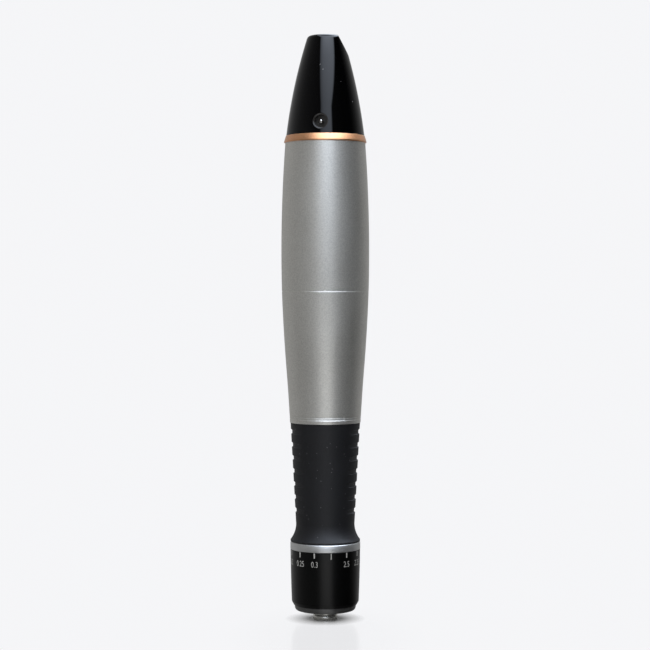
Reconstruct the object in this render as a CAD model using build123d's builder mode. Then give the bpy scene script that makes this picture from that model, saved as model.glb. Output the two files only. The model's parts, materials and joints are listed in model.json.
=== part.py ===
from build123d import *
import math
import os

# Hand-held needling pen, standing upright on its driver rod. Millimetres, +Z from the nose to the tail.
# The origin is the centre of the rod's flat end. The side with the charging inlet faces -Y.

# Shared clearances
seat_clearance = 0.03
slide_clearance = 0.06
turn_clearance = 0.10
overrun = 1.0

# Stroke of the needle driver and travel of the nose collar
needle_stroke = 2.5
collar_travel = 2.5
dial_positions = 13
dial_span_degrees = 360 * (dial_positions - 1) / dial_positions

# Driver rod
rod_overhang = 2.5
rod_head_radius = 3.45
rod_head_length = 4.5
rod_head_rounding = 0.9
rod_neck_length = 0.8
rod_radius = 2.0
rod_step = 0.4
rod_end_length = 1.0
rod_ring_depth = 0.3
rod_ring_thickness = 0.5
rod_ring_width = 0.9
rod_ring_opening_degrees = 80

# Guide tube and the bushes at its two ends
bush_wall = 1.2
bush_length = 4.0
guide_wall = 2.64
guide_flat_depth = 0.5
guide_stick_out = 1.0

# Nose collar: tier, socket for a cartridge, web that slides on the guide tube
tier_height = 1.6
tier_hidden_height = 3.6
tier_step = 0.71
tier_rounding = 1.2
sleeve_wall = 2.0
web_length = 7.0
sleeve_headroom = 1.0
socket_wall = 1.04
bayonet_width = 2.2
bayonet_depth = 0.6
bayonet_height = 1.6
bayonet_inset = 1.8
bayonet_turn_degrees = 35
seal_wire = 0.9
seal_inset = 6.0
stud_radius = 0.7
stud_reach = 0.7
stud_seat_depth = 0.7
stud_bevel = 0.1
groove_land = 0.7

# Depth dial
dial_length = 15.85
dial_end_gap = 0.05
dial_taper = 0.38
dial_rim_wall = 0.87
dial_swell = 0.05
dial_chamfer_width = 0.6
dial_chamfer_height = 1.05
dial_rim_height = 4.95
groove_depth = 0.72

# Neck of the grip core that carries the dial, its snap ring and its friction ring
neck_wall = 0.85
snap_wire = 0.5
snap_inset = 1.6
snap_opening_degrees = 40
friction_wire = 0.45
friction_inset = 3.4

# Index ring
ring_height = 2.1
ring_proud = 0.04
ring_chamfer = 0.25

# Grip: metal core and ribbed rubber sleeve
grip_length = 33.7
core_foot_height = 1.6
neck_end_gap = 0.1
core_waist_wall = 1.26
core_top_wall = 1.5
core_spigot_length = 3.7
rubber_thickness = 1.10
rubber_top_extra = 0.07
flare_height = 5.0
flare_lip_height = 0.5
flare_reach = 1.57
rib_groove_count = 7
rib_groove_pitch = 3.71
rib_groove_inset = 2.6
rib_groove_floor = 1.0
rib_groove_depth = 0.26
rib_groove_upper_run = 0.36
rib_groove_lower_run = 0.18
rib_groove_reach_degrees = 47

# Face cam, follower and return spring
shaft_radius = 1.0
cam_radius = 5.4
cam_thickness = 3.7
cam_gap = 0.3
cam_land = 0.08
ramp_overlap_share = 0.025
ramp_room = 0.6
ramp_bite = 0.5
cam_wall_clearance = 0.45
follower_circle_radius = 4.0
follower_radius = 0.9
follower_gap = 0.04
peak_clearance = 0.4
yoke_thickness = 2.2
yoke_rim_clearance = 0.15
yoke_ear_width = 2.4
yoke_ear_inset = 0.15
spring_length = 12.4
spring_wire = 0.6
spring_radius = 3.1
spring_turns = 6
spring_end_gap = 0.05
set_screw_radius = 0.8
set_screw_height = 1.8
set_screw_length = 1.6

# Drive frame
frame_wall = 1.3
motor_plate_thickness = 2.5
frame_step_thickness = 1.0
frame_floor_thickness = 2.0
frame_spring_room = 0.8
frame_stem_room = 0.4
slot_end_clearance = 0.4

# Motor
motor_radius = 8.0
motor_length = 26.0
motor_room = 0.6
can_wall = 0.6
can_front_thickness = 1.5
motor_boss_radius = 3.0
motor_boss_height = 1.2
bush_outer_radius = 2.2
motor_cap_thickness = 2.2
magnet_share = 0.1625
magnet_length = 16.0
magnet_inset = 2.0
magnet_arc_degrees = 130
armature_gap = 0.45
armature_poles = 3
pole_share = 0.225
pole_shoe_share = 0.1
pole_shoe_degrees = 96
armature_hub_share = 0.3
winding_gap = 0.1
winding_overhang = 0.9
commutator_radius = 2.3
commutator_length = 2.6
commutator_gap = 0.3
brush_gap = 0.06
brush_width = 1.4
brush_length = 2.4
terminal_width = 1.6
terminal_thickness = 0.4
terminal_height = 1.8
terminal_inset = 3.4
motor_screw_circle_radius = 4.5
motor_screw_radius = 0.8
motor_screw_head_radius = 1.5
motor_screw_bite = 1.2
motor_screw_cone_degrees = 45
damper_length = 5.0
damper_inset = 4.0

# Front shell
terminal_room = 3.0
ledge_depth = 2.0
hip_height = 15.2
hip_wall = 2.41
front_end_wall = 1.4
front_bulge = 0.118
seam_reveal = 0.12
seam_spigot_length = 5.8
seam_spigot_wall = 1.15
seam_seal_wire = 0.6
seam_seal_inset = 1.8

# Rear shell
socket_wall_at_seam = 1.40
rear_top_wall = 1.61
rear_bulge = 0.52

# Cell, tray and circuit board
cell_radius = 7.0
cell_length = 34.4
cell_offset = 2.2
cell_room = 0.5
cell_pad_thickness = 1.7
cell_top_pad_thickness = 0.5
cell_button_radius = 2.4
cell_button_height = 0.6
tab_thickness = 0.3
tab_width = 3.0
bulkhead_thickness = 1.5
tray_room = 0.1
rail_inset = 0.9
rail_height = 3.2
board_thickness = 1.0
board_gap = 0.8
board_half_width = 5.8
board_groove_room = 0.05
chip_size = 4.0
chip_height = 0.9
coil_radius = 1.8
coil_height = 1.3
connector_width = 4.4
connector_height = 1.5
connector_length = 3.0

# Power button, its switch and the indicator lens, on the back
button_height_above_seam = 11.0
button_radius = 2.5
button_room = 0.1
button_proud = 0.15
button_travel = 0.5
button_flange_extra = 0.7
button_flange_thickness = 0.5
button_edge_rounding = 0.35
button_dish_depth = 0.2
button_dish_radius = 9.0
switch_gap = 0.05
switch_half_width = 2.0
plunger_radius = 0.75
plunger_depth = 0.8
plunger_room = 0.15
indicator_spacing = 8.0
indicator_radius = 0.8
indicator_flange_extra = 0.4
indicator_flange_thickness = 0.4

# Trim ring and tail cap
trim_height = 2.0
trim_proud = 0.35
trim_rounding = 0.35
trim_step = 0.1
cap_length = 28.2
cap_step = 1.38
cap_spigot_length = 2.9
cap_spigot_wall = 1.47
cap_spigot_gap = 0.1
cap_top_radius = 4.95
cap_bulge = 0.68
cap_edge_rounding = 1.0
cap_top_wall = 3.0
cap_cavity_top_radius = 2.4
cap_cavity_straight = 7.5
facet_top_radius = 3.92
facet_lean_degrees = 25.64

# Charging inlet
inlet_height = 3.4
inlet_turn_degrees = -8.0
inlet_radius = 2.25
inlet_nose_recess = 0.9
jack_width = 6.0
jack_height = 6.0
jack_depth = 8.5
jack_wall_room = 0.4
jack_nose_wall = 0.35
jack_bore_depth = 6.2
jack_pin_radius = 0.65
jack_pin_recess = 0.5
jack_tag_length = 1.2
jack_tag_width = 1.0
jack_tag_thickness = 0.4

# Internal leads
lead_radius = 0.35
lead_bend_radius = 1.6
lead_hole_room = 0.25
motor_lead_height = 1.0
jack_lead_spread = 1.5

# Levels along Z, from the rod's end up to the tail
z_collar = rod_overhang
z_dial = z_collar + tier_height
z_dial_top = z_dial + dial_length
z_ring = z_dial_top + dial_end_gap
z_grip = z_ring + ring_height
z_front = z_grip + grip_length
z_core_top = z_front + core_spigot_length
z_flange = z_core_top
z_motor = z_flange + motor_plate_thickness
z_motor_top = z_motor + motor_length
z_tray = z_motor_top + terminal_room
z_seam = z_tray + ledge_depth
z_bulkhead_top = z_tray + bulkhead_thickness
z_cell = z_bulkhead_top + cell_pad_thickness + tab_thickness
z_cell_top = z_cell + cell_length + cell_button_height
z_upper_bulkhead = z_cell_top + tab_thickness + cell_top_pad_thickness
z_tray_top = z_upper_bulkhead + bulkhead_thickness
z_trim = z_tray_top + cap_spigot_gap + cap_spigot_length
z_cap = z_trim + trim_height
z_top = z_cap + cap_length
z_inlet = z_cap + inlet_height

# Levels of the drive, from the motor's face down to the guide tube
z_cam_top = z_flange - cam_gap
z_valley = z_cam_top - cam_thickness
z_peak = z_valley - needle_stroke
z_yoke_top = z_peak - peak_clearance
z_yoke = z_yoke_top - yoke_thickness
z_slot = z_yoke - needle_stroke - slot_end_clearance
z_step = z_slot - frame_step_thickness
z_spring = z_yoke - spring_length
z_floor = z_spring - frame_floor_thickness
z_sleeve_top = z_grip - sleeve_headroom
z_web = z_sleeve_top - web_length
z_guide = z_web - guide_stick_out
z_rod_end = z_yoke_top + rod_end_length
z_neck = z_dial_top - dial_rim_height + neck_end_gap

# Radii, from the rod out to the skin
bush_radius = rod_radius + seat_clearance + bush_wall
guide_bore = bush_radius + seat_clearance
guide_radius = guide_bore + guide_wall
sleeve_bore = guide_radius + slide_clearance
sleeve_radius = sleeve_bore + sleeve_wall
socket_radius = sleeve_radius - socket_wall
tier_radius = sleeve_radius + tier_step
dial_bore = sleeve_radius + turn_clearance
dial_mouth_radius = tier_radius + turn_clearance
neck_radius = dial_bore + neck_wall
dial_rim_bore = neck_radius + turn_clearance
dial_top_radius = dial_rim_bore + dial_rim_wall
dial_bottom_radius = dial_top_radius - dial_taper
ring_radius = dial_top_radius + ring_proud
core_bore = guide_radius + seat_clearance
core_waist_radius = core_bore + core_waist_wall
frame_bore = cam_radius + cam_wall_clearance
yoke_radius = frame_bore - yoke_rim_clearance
frame_radius = frame_bore + frame_wall
core_top_bore = frame_radius + seat_clearance
core_top_radius = core_top_bore + core_top_wall
spring_bore = spring_radius + spring_wire / 2 + frame_spring_room
waist_radius = core_waist_radius + rubber_thickness
grip_top_radius = core_top_radius + rubber_thickness + rubber_top_extra
flare_radius = waist_radius + flare_reach
magnet_thickness = magnet_share * motor_radius
pole_width = pole_share * motor_radius
pole_shoe_thickness = pole_shoe_share * motor_radius
armature_hub_radius = armature_hub_share * motor_radius
terminal_circle_radius = motor_radius - can_wall - terminal_inset
front_bore = motor_radius + motor_room
core_spigot_radius = front_bore - seat_clearance
front_end_radius = front_bore + front_end_wall
hip_radius = front_bore + hip_wall
rear_bore = cell_radius + cell_offset + cell_room
seam_spigot_radius = rear_bore + seam_spigot_wall
seam_socket_radius = seam_spigot_radius + seat_clearance
seam_radius = seam_socket_radius + socket_wall_at_seam
rear_top_radius = rear_bore + rear_top_wall
cap_spigot_radius = rear_bore - seat_clearance
cap_base_radius = cap_spigot_radius + cap_step
cap_cavity_radius = cap_spigot_radius - cap_spigot_wall
trim_bottom_radius = rear_top_radius + trim_proud
tray_radius = rear_bore - tray_room

# Lead of the dial's groove: the collar's travel over the dial's span
groove_lead = collar_travel * 360 / dial_span_degrees
z_stud = z_dial + tier_hidden_height + groove_land + stud_radius + collar_travel
stud_degrees = 360 - dial_span_degrees

os.makedirs("parts", exist_ok=True)


def tube_wall(inner, outer, low, high):
    """Section of a tube's wall, drawn in the XZ plane on the +X side."""
    with Locations(((inner + outer) / 2, (low + high) / 2)):
        Rectangle(outer - inner, high - low)


def finish(piece, name):
    """Labels a finished piece and writes its file."""
    piece.part.label = name
    export_step(piece.part, "parts/" + name + ".step")


def upright(degrees):
    """Plane through the axis at an azimuth: X runs outwards and Y runs up."""
    turn = math.radians(degrees)
    return Plane(
        origin=(0, 0, 0),
        x_dir=(math.cos(turn), math.sin(turn), 0),
        z_dir=(math.sin(turn), -math.cos(turn), 0),
    )


def facing(degrees, distance):
    """Plane square to an azimuth, at a distance from the axis: Z runs outwards and Y runs up."""
    turn = math.radians(degrees)
    return Plane(
        origin=(distance * math.cos(turn), distance * math.sin(turn), 0),
        x_dir=(-math.sin(turn), math.cos(turn), 0),
        z_dir=(math.cos(turn), math.sin(turn), 0),
    )


def rear_radius(level):
    """Outer radius of the rear shell at a level."""
    share = (level - z_seam) / (z_trim - z_seam)
    chord = seam_radius + (rear_top_radius - seam_radius) * share
    return chord + 4 * rear_bulge * share * (1 - share)


def cap_radius(level):
    """Outer radius of the tail cap at a level."""
    share = (level - z_cap) / (z_top - z_cap)
    chord = cap_base_radius + (cap_top_radius - cap_base_radius) * share
    return chord + 4 * cap_bulge * share * (1 - share)


# Driver rod: a mushroom head that strikes the cartridge, a plain stem and a stepped end for the yoke
with BuildPart() as driver_rod:
    with BuildSketch(Plane.XZ):
        with BuildLine():
            Polyline(
                (0, 0),
                (rod_head_radius, 0),
                (rod_head_radius, rod_head_length),
                (rod_radius, rod_head_length + rod_neck_length),
                (rod_radius, z_yoke),
                (rod_radius - rod_step, z_yoke),
                (rod_radius - rod_step, z_rod_end),
                (0, z_rod_end),
                close=True,
            )
        make_face()
    revolve(axis=Axis.Z)
    fillet(driver_rod.edges().filter_by(GeomType.CIRCLE).group_by(Axis.Z)[0], rod_head_rounding)
    # Groove for the retaining ring on top of the yoke
    with BuildSketch(Plane.XZ):
        tube_wall(
            rod_radius - rod_step - rod_ring_depth, rod_radius, z_yoke_top, z_yoke_top + rod_ring_thickness
        )
    revolve(axis=Axis.Z, mode=Mode.SUBTRACT)
finish(driver_rod, "driver_rod")

# Retaining ring that holds the yoke on the rod
with BuildPart() as yoke_ring:
    with BuildSketch(upright(rod_ring_opening_degrees / 2)):
        tube_wall(
            rod_radius - rod_step - rod_ring_depth + seat_clearance,
            rod_radius - rod_step - rod_ring_depth + rod_ring_width,
            z_yoke_top,
            z_yoke_top + rod_ring_thickness,
        )
    revolve(axis=Axis.Z, revolution_arc=360 - rod_ring_opening_degrees)
finish(yoke_ring, "yoke_retaining_ring")

# Yoke on the rod, with two ears that slide in the frame's slots
with BuildPart() as follower_yoke:
    with BuildSketch(Plane.XY.offset(z_yoke)):
        Circle(yoke_radius)
        Rectangle(yoke_ear_width, 2 * (frame_radius - yoke_ear_inset))
        Circle(rod_radius - rod_step + seat_clearance, mode=Mode.SUBTRACT)
        with Locations((-follower_circle_radius, 0)):
            Circle(follower_radius + seat_clearance, mode=Mode.SUBTRACT)
    extrude(amount=yoke_thickness)
finish(follower_yoke, "follower_yoke")

# Follower pin with a round nose, standing off the cam by the follower gap
cam_slope = math.atan(needle_stroke / (math.pi * follower_circle_radius))
z_nose = z_valley - (follower_radius + follower_gap) / math.cos(cam_slope)
x_pin_side = follower_radius - follower_circle_radius
with BuildPart() as follower_pin:
    with BuildSketch(Plane.XZ):
        with BuildLine():
            Polyline((-follower_circle_radius, z_yoke), (x_pin_side, z_yoke), (x_pin_side, z_nose))
            CenterArc((-follower_circle_radius, z_nose), follower_radius, 0, 90)
            Line((-follower_circle_radius, z_nose + follower_radius), (-follower_circle_radius, z_yoke))
        make_face()
    revolve(axis=Axis((-follower_circle_radius, 0, 0), (0, 0, 1)))
finish(follower_pin, "follower_pin")

# Return spring between the frame's floor and the yoke
with BuildPart() as return_spring:
    with BuildLine() as coil:
        Helix(
            pitch=(spring_length - spring_wire - spring_end_gap) / spring_turns,
            height=spring_length - spring_wire - spring_end_gap,
            radius=spring_radius,
            center=(0, 0, z_spring + spring_wire / 2),
        )
    with BuildSketch(Plane(origin=coil.line @ 0, z_dir=coil.line % 0)):
        Circle(spring_wire / 2)
    sweep(path=coil.line, is_frenet=True)
finish(return_spring, "return_spring")

# Bushes that guide the stem, one at each end of the guide tube
with BuildPart() as rod_bushes:
    with BuildSketch(Plane.XZ):
        tube_wall(rod_radius + seat_clearance, bush_radius, z_guide, z_guide + bush_length)
        tube_wall(rod_radius + seat_clearance, bush_radius, z_floor - bush_length, z_floor)
    revolve(axis=Axis.Z)
finish(rod_bushes, "rod_bushes")

# Guide tube, with a flat on each side below the core that keeps the nose collar from turning
with BuildPart() as guide_tube:
    with BuildSketch(Plane.XZ):
        tube_wall(guide_bore, guide_radius, z_guide, z_floor)
    revolve(axis=Axis.Z)
    with BuildSketch(Plane.XY.offset(z_guide)):
        with Locations(
            (0, guide_radius - guide_flat_depth + overrun / 2),
            (0, guide_flat_depth - guide_radius - overrun / 2),
        ):
            Rectangle(2 * guide_radius, overrun)
    extrude(amount=z_grip - z_guide, mode=Mode.SUBTRACT)
finish(guide_tube, "guide_tube")

# Nose collar: rounded tier, open socket for the cartridge, and a web with flats on the guide tube
with BuildPart() as nose_collar:
    with BuildSketch(Plane.XZ):
        with BuildLine():
            Polyline(
                (0, z_collar),
                (tier_radius, z_collar),
                (tier_radius, z_dial + tier_hidden_height),
                (sleeve_radius, z_dial + tier_hidden_height),
                (sleeve_radius, z_sleeve_top),
                (0, z_sleeve_top),
                close=True,
            )
        make_face()
    revolve(axis=Axis.Z)
    fillet(nose_collar.edges().filter_by(GeomType.CIRCLE).group_by(Axis.Z)[0], tier_rounding)
    with BuildSketch(Plane.XY.offset(z_collar)):
        Circle(socket_radius)
    extrude(amount=z_web - z_collar, mode=Mode.SUBTRACT)
    with BuildSketch(Plane.XY.offset(z_web)):
        Circle(sleeve_bore)
        with Locations(
            (0, sleeve_bore - guide_flat_depth + overrun / 2),
            (0, guide_flat_depth - sleeve_bore - overrun / 2),
        ):
            Rectangle(2 * sleeve_bore, overrun, mode=Mode.SUBTRACT)
    extrude(amount=z_sleeve_top - z_web, mode=Mode.SUBTRACT)
    # Bayonet slots: a straight entry at the mouth, then a short turn behind the lip
    with BuildSketch(Plane.XY.offset(z_collar)):
        with PolarLocations(socket_radius, 2):
            Rectangle(2 * bayonet_depth, bayonet_width)
    extrude(amount=bayonet_inset + bayonet_height, mode=Mode.SUBTRACT)
    for start in (0, 180):
        with BuildSketch(upright(start)):
            tube_wall(
                socket_radius - bayonet_depth,
                socket_radius + bayonet_depth,
                z_collar + bayonet_inset,
                z_collar + bayonet_inset + bayonet_height,
            )
        revolve(axis=Axis.Z, revolution_arc=bayonet_turn_degrees, mode=Mode.SUBTRACT)
    # Groove for the cartridge seal
    with BuildSketch(Plane.XZ):
        with Locations((socket_radius, z_collar + seal_inset)):
            Rectangle(seal_wire, seal_wire)
    revolve(axis=Axis.Z, mode=Mode.SUBTRACT)
    # Seat of the drive stud
    with BuildSketch(facing(stud_degrees, sleeve_radius - stud_seat_depth)):
        with Locations((0, z_stud)):
            Circle(stud_radius + seat_clearance)
    extrude(amount=stud_seat_depth + overrun, mode=Mode.SUBTRACT)
finish(nose_collar, "nose_collar")

# Seal that grips the cartridge in the socket
with BuildPart() as cartridge_seal:
    with BuildSketch(Plane.XZ):
        with Locations((socket_radius, z_collar + seal_inset)):
            Circle(seal_wire / 2 - seat_clearance)
    revolve(axis=Axis.Z)
finish(cartridge_seal, "cartridge_seal")

# Drive stud, which rides in the dial's groove
with BuildPart() as drive_stud:
    with BuildSketch(facing(stud_degrees, sleeve_radius - stud_seat_depth)):
        with Locations((0, z_stud)):
            Circle(stud_radius)
    extrude(amount=stud_seat_depth + stud_reach)
    chamfer(drive_stud.edges().filter_by(GeomType.CIRCLE).sort_by_distance((0, 0, z_stud))[-1], stud_bevel)
finish(drive_stud, "drive_stud")

# Depth dial: a slightly swelling skirt with a chamfered foot and a one-turn helical groove inside
groove_half_width = stud_radius + turn_clearance
with BuildPart() as depth_dial:
    with BuildSketch(Plane.XZ):
        with BuildLine():
            Polyline(
                (dial_bore, z_dial),
                (dial_bottom_radius - dial_chamfer_width, z_dial),
                (dial_bottom_radius, z_dial + dial_chamfer_height),
            )
            SagittaArc(
                (dial_bottom_radius, z_dial + dial_chamfer_height),
                (dial_top_radius, z_dial_top),
                -dial_swell,
            )
            Polyline(
                (dial_top_radius, z_dial_top),
                (dial_rim_bore, z_dial_top),
                (dial_rim_bore, z_dial_top - dial_rim_height),
                (dial_bore, z_dial_top - dial_rim_height),
                (dial_bore, z_dial),
            )
        make_face()
    revolve(axis=Axis.Z)
    with BuildSketch(Plane.XY.offset(z_dial)):
        Circle(dial_mouth_radius)
    extrude(amount=tier_hidden_height + turn_clearance, mode=Mode.SUBTRACT)
    # Groove for the snap ring in the rim
    with BuildSketch(Plane.XZ):
        with Locations((dial_rim_bore, z_dial_top - snap_inset)):
            Rectangle(snap_wire + 2 * turn_clearance, snap_wire + 2 * turn_clearance)
    revolve(axis=Axis.Z, mode=Mode.SUBTRACT)
    # Helical groove, which falls by the collar's travel over the dial's span
    with BuildLine(Plane.XY.offset(z_stud - collar_travel)) as groove:
        Helix(pitch=groove_lead, height=collar_travel, radius=dial_bore, lefthand=True)
    with BuildSketch(Plane(origin=groove.line @ 0, x_dir=(0, 0, 1), z_dir=groove.line % 0)):
        Rectangle(2 * groove_half_width, 2 * groove_depth)
    sweep(path=groove.line, is_frenet=True, mode=Mode.SUBTRACT)
    for end_degrees, end_level in ((0, z_stud - collar_travel), (stud_degrees, z_stud)):
        with BuildSketch(facing(end_degrees, dial_bore - groove_depth)):
            with Locations((0, end_level)):
                Circle(groove_half_width)
        extrude(amount=2 * groove_depth, mode=Mode.SUBTRACT)
finish(depth_dial, "depth_dial")

# Snap ring that holds the dial on the neck, open at the back
with BuildPart() as dial_snap_ring:
    with BuildSketch(upright(90 + snap_opening_degrees / 2)):
        with Locations(((neck_radius + dial_rim_bore) / 2, z_dial_top - snap_inset)):
            Circle(snap_wire / 2)
    revolve(axis=Axis.Z, revolution_arc=360 - snap_opening_degrees)
finish(dial_snap_ring, "dial_snap_ring")

# Friction ring that holds the dial where it is set
with BuildPart() as dial_friction_ring:
    with BuildSketch(Plane.XZ):
        with Locations((dial_rim_bore - slide_clearance - friction_wire / 2, z_dial_top - friction_inset)):
            Circle(friction_wire / 2)
    revolve(axis=Axis.Z)
finish(dial_friction_ring, "dial_friction_ring")

# Index ring between the dial and the grip, with a bright chamfer along its upper edge
with BuildPart() as index_ring:
    with BuildSketch(Plane.XZ):
        tube_wall(neck_radius + seat_clearance, ring_radius, z_ring, z_grip)
    revolve(axis=Axis.Z)
    rim = index_ring.edges().filter_by(GeomType.CIRCLE).group_by(Axis.Z)[-1].sort_by(SortBy.RADIUS)[-1]
    chamfer(rim, ring_chamfer)
finish(index_ring, "index_ring")

# Grip core: neck for the dial, foot under the rubber's flare, tapered barrel and a spigot for the shell
friction_groove_depth = friction_wire - turn_clearance + slide_clearance + seat_clearance
with BuildPart() as grip_core:
    with BuildSketch(Plane.XZ):
        with BuildLine():
            Polyline(
                (dial_bore, z_neck),
                (neck_radius, z_neck),
                (neck_radius, z_grip + core_foot_height),
                (core_waist_radius, z_grip + flare_height),
                (core_top_radius, z_front),
                (core_spigot_radius, z_front),
                (core_spigot_radius, z_core_top),
                (core_top_bore, z_core_top),
                (core_top_bore, z_step),
                (core_bore, z_step),
                (core_bore, z_grip),
                (dial_bore, z_grip),
                close=True,
            )
        make_face()
    revolve(axis=Axis.Z)
    # Grooves for the dial's snap ring and friction ring
    with BuildSketch(Plane.XZ):
        with Locations((neck_radius, z_dial_top - snap_inset)):
            Rectangle(snap_wire, snap_wire + 2 * seat_clearance)
        with Locations((neck_radius, z_dial_top - friction_inset)):
            Rectangle(2 * friction_groove_depth, friction_wire + 2 * seat_clearance)
    revolve(axis=Axis.Z, mode=Mode.SUBTRACT)
finish(grip_core, "grip_core")

# Rubber grip: tapered sleeve that flares at its foot, with ribs between grooves that fade out
# towards the front and the back. Each groove is turned about an axis set off from the grip's own.
z_waist = z_grip + flare_height
groove_mid_radius = (grip_top_radius + waist_radius) / 2
reach_share = math.cos(math.radians(rib_groove_reach_degrees))
groove_axis_offset = (
    rib_groove_depth
    * (2 * groove_mid_radius - rib_groove_depth)
    / (2 * (groove_mid_radius * (1 - reach_share) - rib_groove_depth))
)
with BuildPart() as rubber_grip:
    with BuildSketch(Plane.XZ):
        with BuildLine():
            Polyline(
                (waist_radius, z_waist),
                (grip_top_radius, z_front),
                (core_top_radius + seat_clearance, z_front),
                (core_waist_radius + seat_clearance, z_waist),
                (neck_radius + seat_clearance, z_grip + core_foot_height),
                (neck_radius + seat_clearance, z_grip),
                (flare_radius, z_grip),
                (flare_radius, z_grip + flare_lip_height),
            )
            TangentArc((waist_radius, z_waist), (flare_radius, z_grip + flare_lip_height), tangent=(0, -1))
        make_face()
    revolve(axis=Axis.Z)
    for side in (1, -1):
        with BuildSketch(Plane.XZ):
            for number in range(rib_groove_count):
                level = z_front - rib_groove_inset - number * rib_groove_pitch
                share = (level - z_waist) / (z_front - z_waist)
                skin = waist_radius + (grip_top_radius - waist_radius) * share
                floor_low = level - rib_groove_floor / 2
                floor_high = level + rib_groove_floor / 2
                with BuildLine():
                    Polyline(
                        (side * (skin - rib_groove_depth), floor_low),
                        (side * (skin - rib_groove_depth), floor_high),
                        (side * (skin + rib_groove_depth), floor_high + 2 * rib_groove_upper_run),
                        (side * (skin + rib_groove_depth), floor_low - 2 * rib_groove_lower_run),
                        close=True,
                    )
                make_face()
        revolve(axis=Axis((-side * groove_axis_offset, 0, 0), (0, 0, 1)), mode=Mode.SUBTRACT)
finish(rubber_grip, "rubber_grip")

# Drive frame: floor for the return spring, and a barrel with two slots for the yoke's ears
with BuildPart() as drive_frame:
    with BuildSketch(Plane.XZ):
        with BuildLine():
            Polyline(
                (rod_radius + frame_stem_room, z_floor),
                (guide_radius, z_floor),
                (guide_radius, z_step),
                (frame_radius, z_step),
                (frame_radius, z_flange),
                (frame_bore, z_flange),
                (frame_bore, z_slot),
                (spring_bore, z_slot),
                (spring_bore, z_spring),
                (rod_radius + frame_stem_room, z_spring),
                close=True,
            )
        make_face()
    revolve(axis=Axis.Z)
    with BuildSketch(Plane.XY.offset(z_slot)):
        Rectangle(yoke_ear_width + 2 * slide_clearance, 2 * (frame_radius + overrun))
    extrude(amount=z_flange - z_slot, mode=Mode.SUBTRACT)
finish(drive_frame, "drive_frame")

# Motor plate between the frame and the motor, with countersunk holes for its screws
screw_places = [(motor_screw_circle_radius, 0), (-motor_screw_circle_radius, 0)]
with BuildPart() as motor_plate:
    with BuildSketch(Plane.XY.offset(z_flange)):
        Circle(core_spigot_radius)
        Circle(motor_boss_radius + seat_clearance, mode=Mode.SUBTRACT)
    extrude(amount=motor_plate_thickness)
    with Locations(Plane.XY.offset(z_flange).rotated((180, 0, 0))):
        with Locations(screw_places):
            CounterSinkHole(
                motor_screw_radius + seat_clearance,
                motor_screw_head_radius + seat_clearance,
                motor_plate_thickness,
            )
finish(motor_plate, "motor_plate")

# Countersunk screws that hold the motor on its plate
screw_head_height = motor_screw_head_radius - motor_screw_radius
with BuildPart() as motor_screws:
    with BuildSketch(Plane.XY.offset(z_flange)):
        with Locations(screw_places):
            Circle(motor_screw_head_radius)
    extrude(amount=screw_head_height, taper=motor_screw_cone_degrees)
    with BuildSketch(Plane.XY.offset(z_flange)):
        with Locations(screw_places):
            Circle(motor_screw_radius)
    extrude(amount=motor_plate_thickness + motor_screw_bite)
finish(motor_screws, "motor_screws")

# Motor can with a boss at its front and tapped holes for the screws
with BuildPart() as motor_can:
    with BuildSketch(Plane.XZ):
        with BuildLine():
            Polyline(
                (bush_outer_radius + seat_clearance, z_motor - motor_boss_height),
                (motor_boss_radius, z_motor - motor_boss_height),
                (motor_boss_radius, z_motor),
                (motor_radius, z_motor),
                (motor_radius, z_motor_top),
                (motor_radius - can_wall, z_motor_top),
                (motor_radius - can_wall, z_motor + can_front_thickness),
                (bush_outer_radius + seat_clearance, z_motor + can_front_thickness),
                close=True,
            )
        make_face()
    revolve(axis=Axis.Z)
    with BuildSketch(Plane.XY.offset(z_motor)):
        with Locations(screw_places):
            Circle(motor_screw_radius + seat_clearance)
    extrude(amount=motor_screw_bite + seat_clearance, mode=Mode.SUBTRACT)
finish(motor_can, "motor_can")

# Magnets along the can's wall
z_magnet = z_motor + can_front_thickness + magnet_inset
magnet_radius = motor_radius - can_wall - seat_clearance
with BuildPart() as motor_magnets:
    for middle in (0, 180):
        with BuildSketch(upright(middle - magnet_arc_degrees / 2)):
            tube_wall(magnet_radius - magnet_thickness, magnet_radius, z_magnet, z_magnet + magnet_length)
        revolve(axis=Axis.Z, revolution_arc=magnet_arc_degrees)
finish(motor_magnets, "motor_magnets")

# Motor end cap that carries the rear bush
z_end_cap = z_motor_top - motor_cap_thickness
with BuildPart() as motor_end_cap:
    with BuildSketch(Plane.XZ):
        tube_wall(bush_outer_radius + seat_clearance, magnet_radius, z_end_cap, z_motor_top)
    revolve(axis=Axis.Z)
finish(motor_end_cap, "motor_end_cap")

# Bushes for the motor's shaft
with BuildPart() as motor_bushes:
    with BuildSketch(Plane.XZ):
        tube_wall(
            shaft_radius + seat_clearance,
            bush_outer_radius,
            z_motor - motor_boss_height,
            z_motor + can_front_thickness,
        )
        tube_wall(shaft_radius + seat_clearance, bush_outer_radius, z_end_cap, z_motor_top)
    revolve(axis=Axis.Z)
finish(motor_bushes, "motor_bushes")

# Shaft, from the cam up to the rear bush
with BuildPart() as motor_shaft:
    with BuildSketch(Plane.XY.offset(z_valley)):
        Circle(shaft_radius)
    extrude(amount=z_motor_top - z_valley)
finish(motor_shaft, "motor_shaft")

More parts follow.
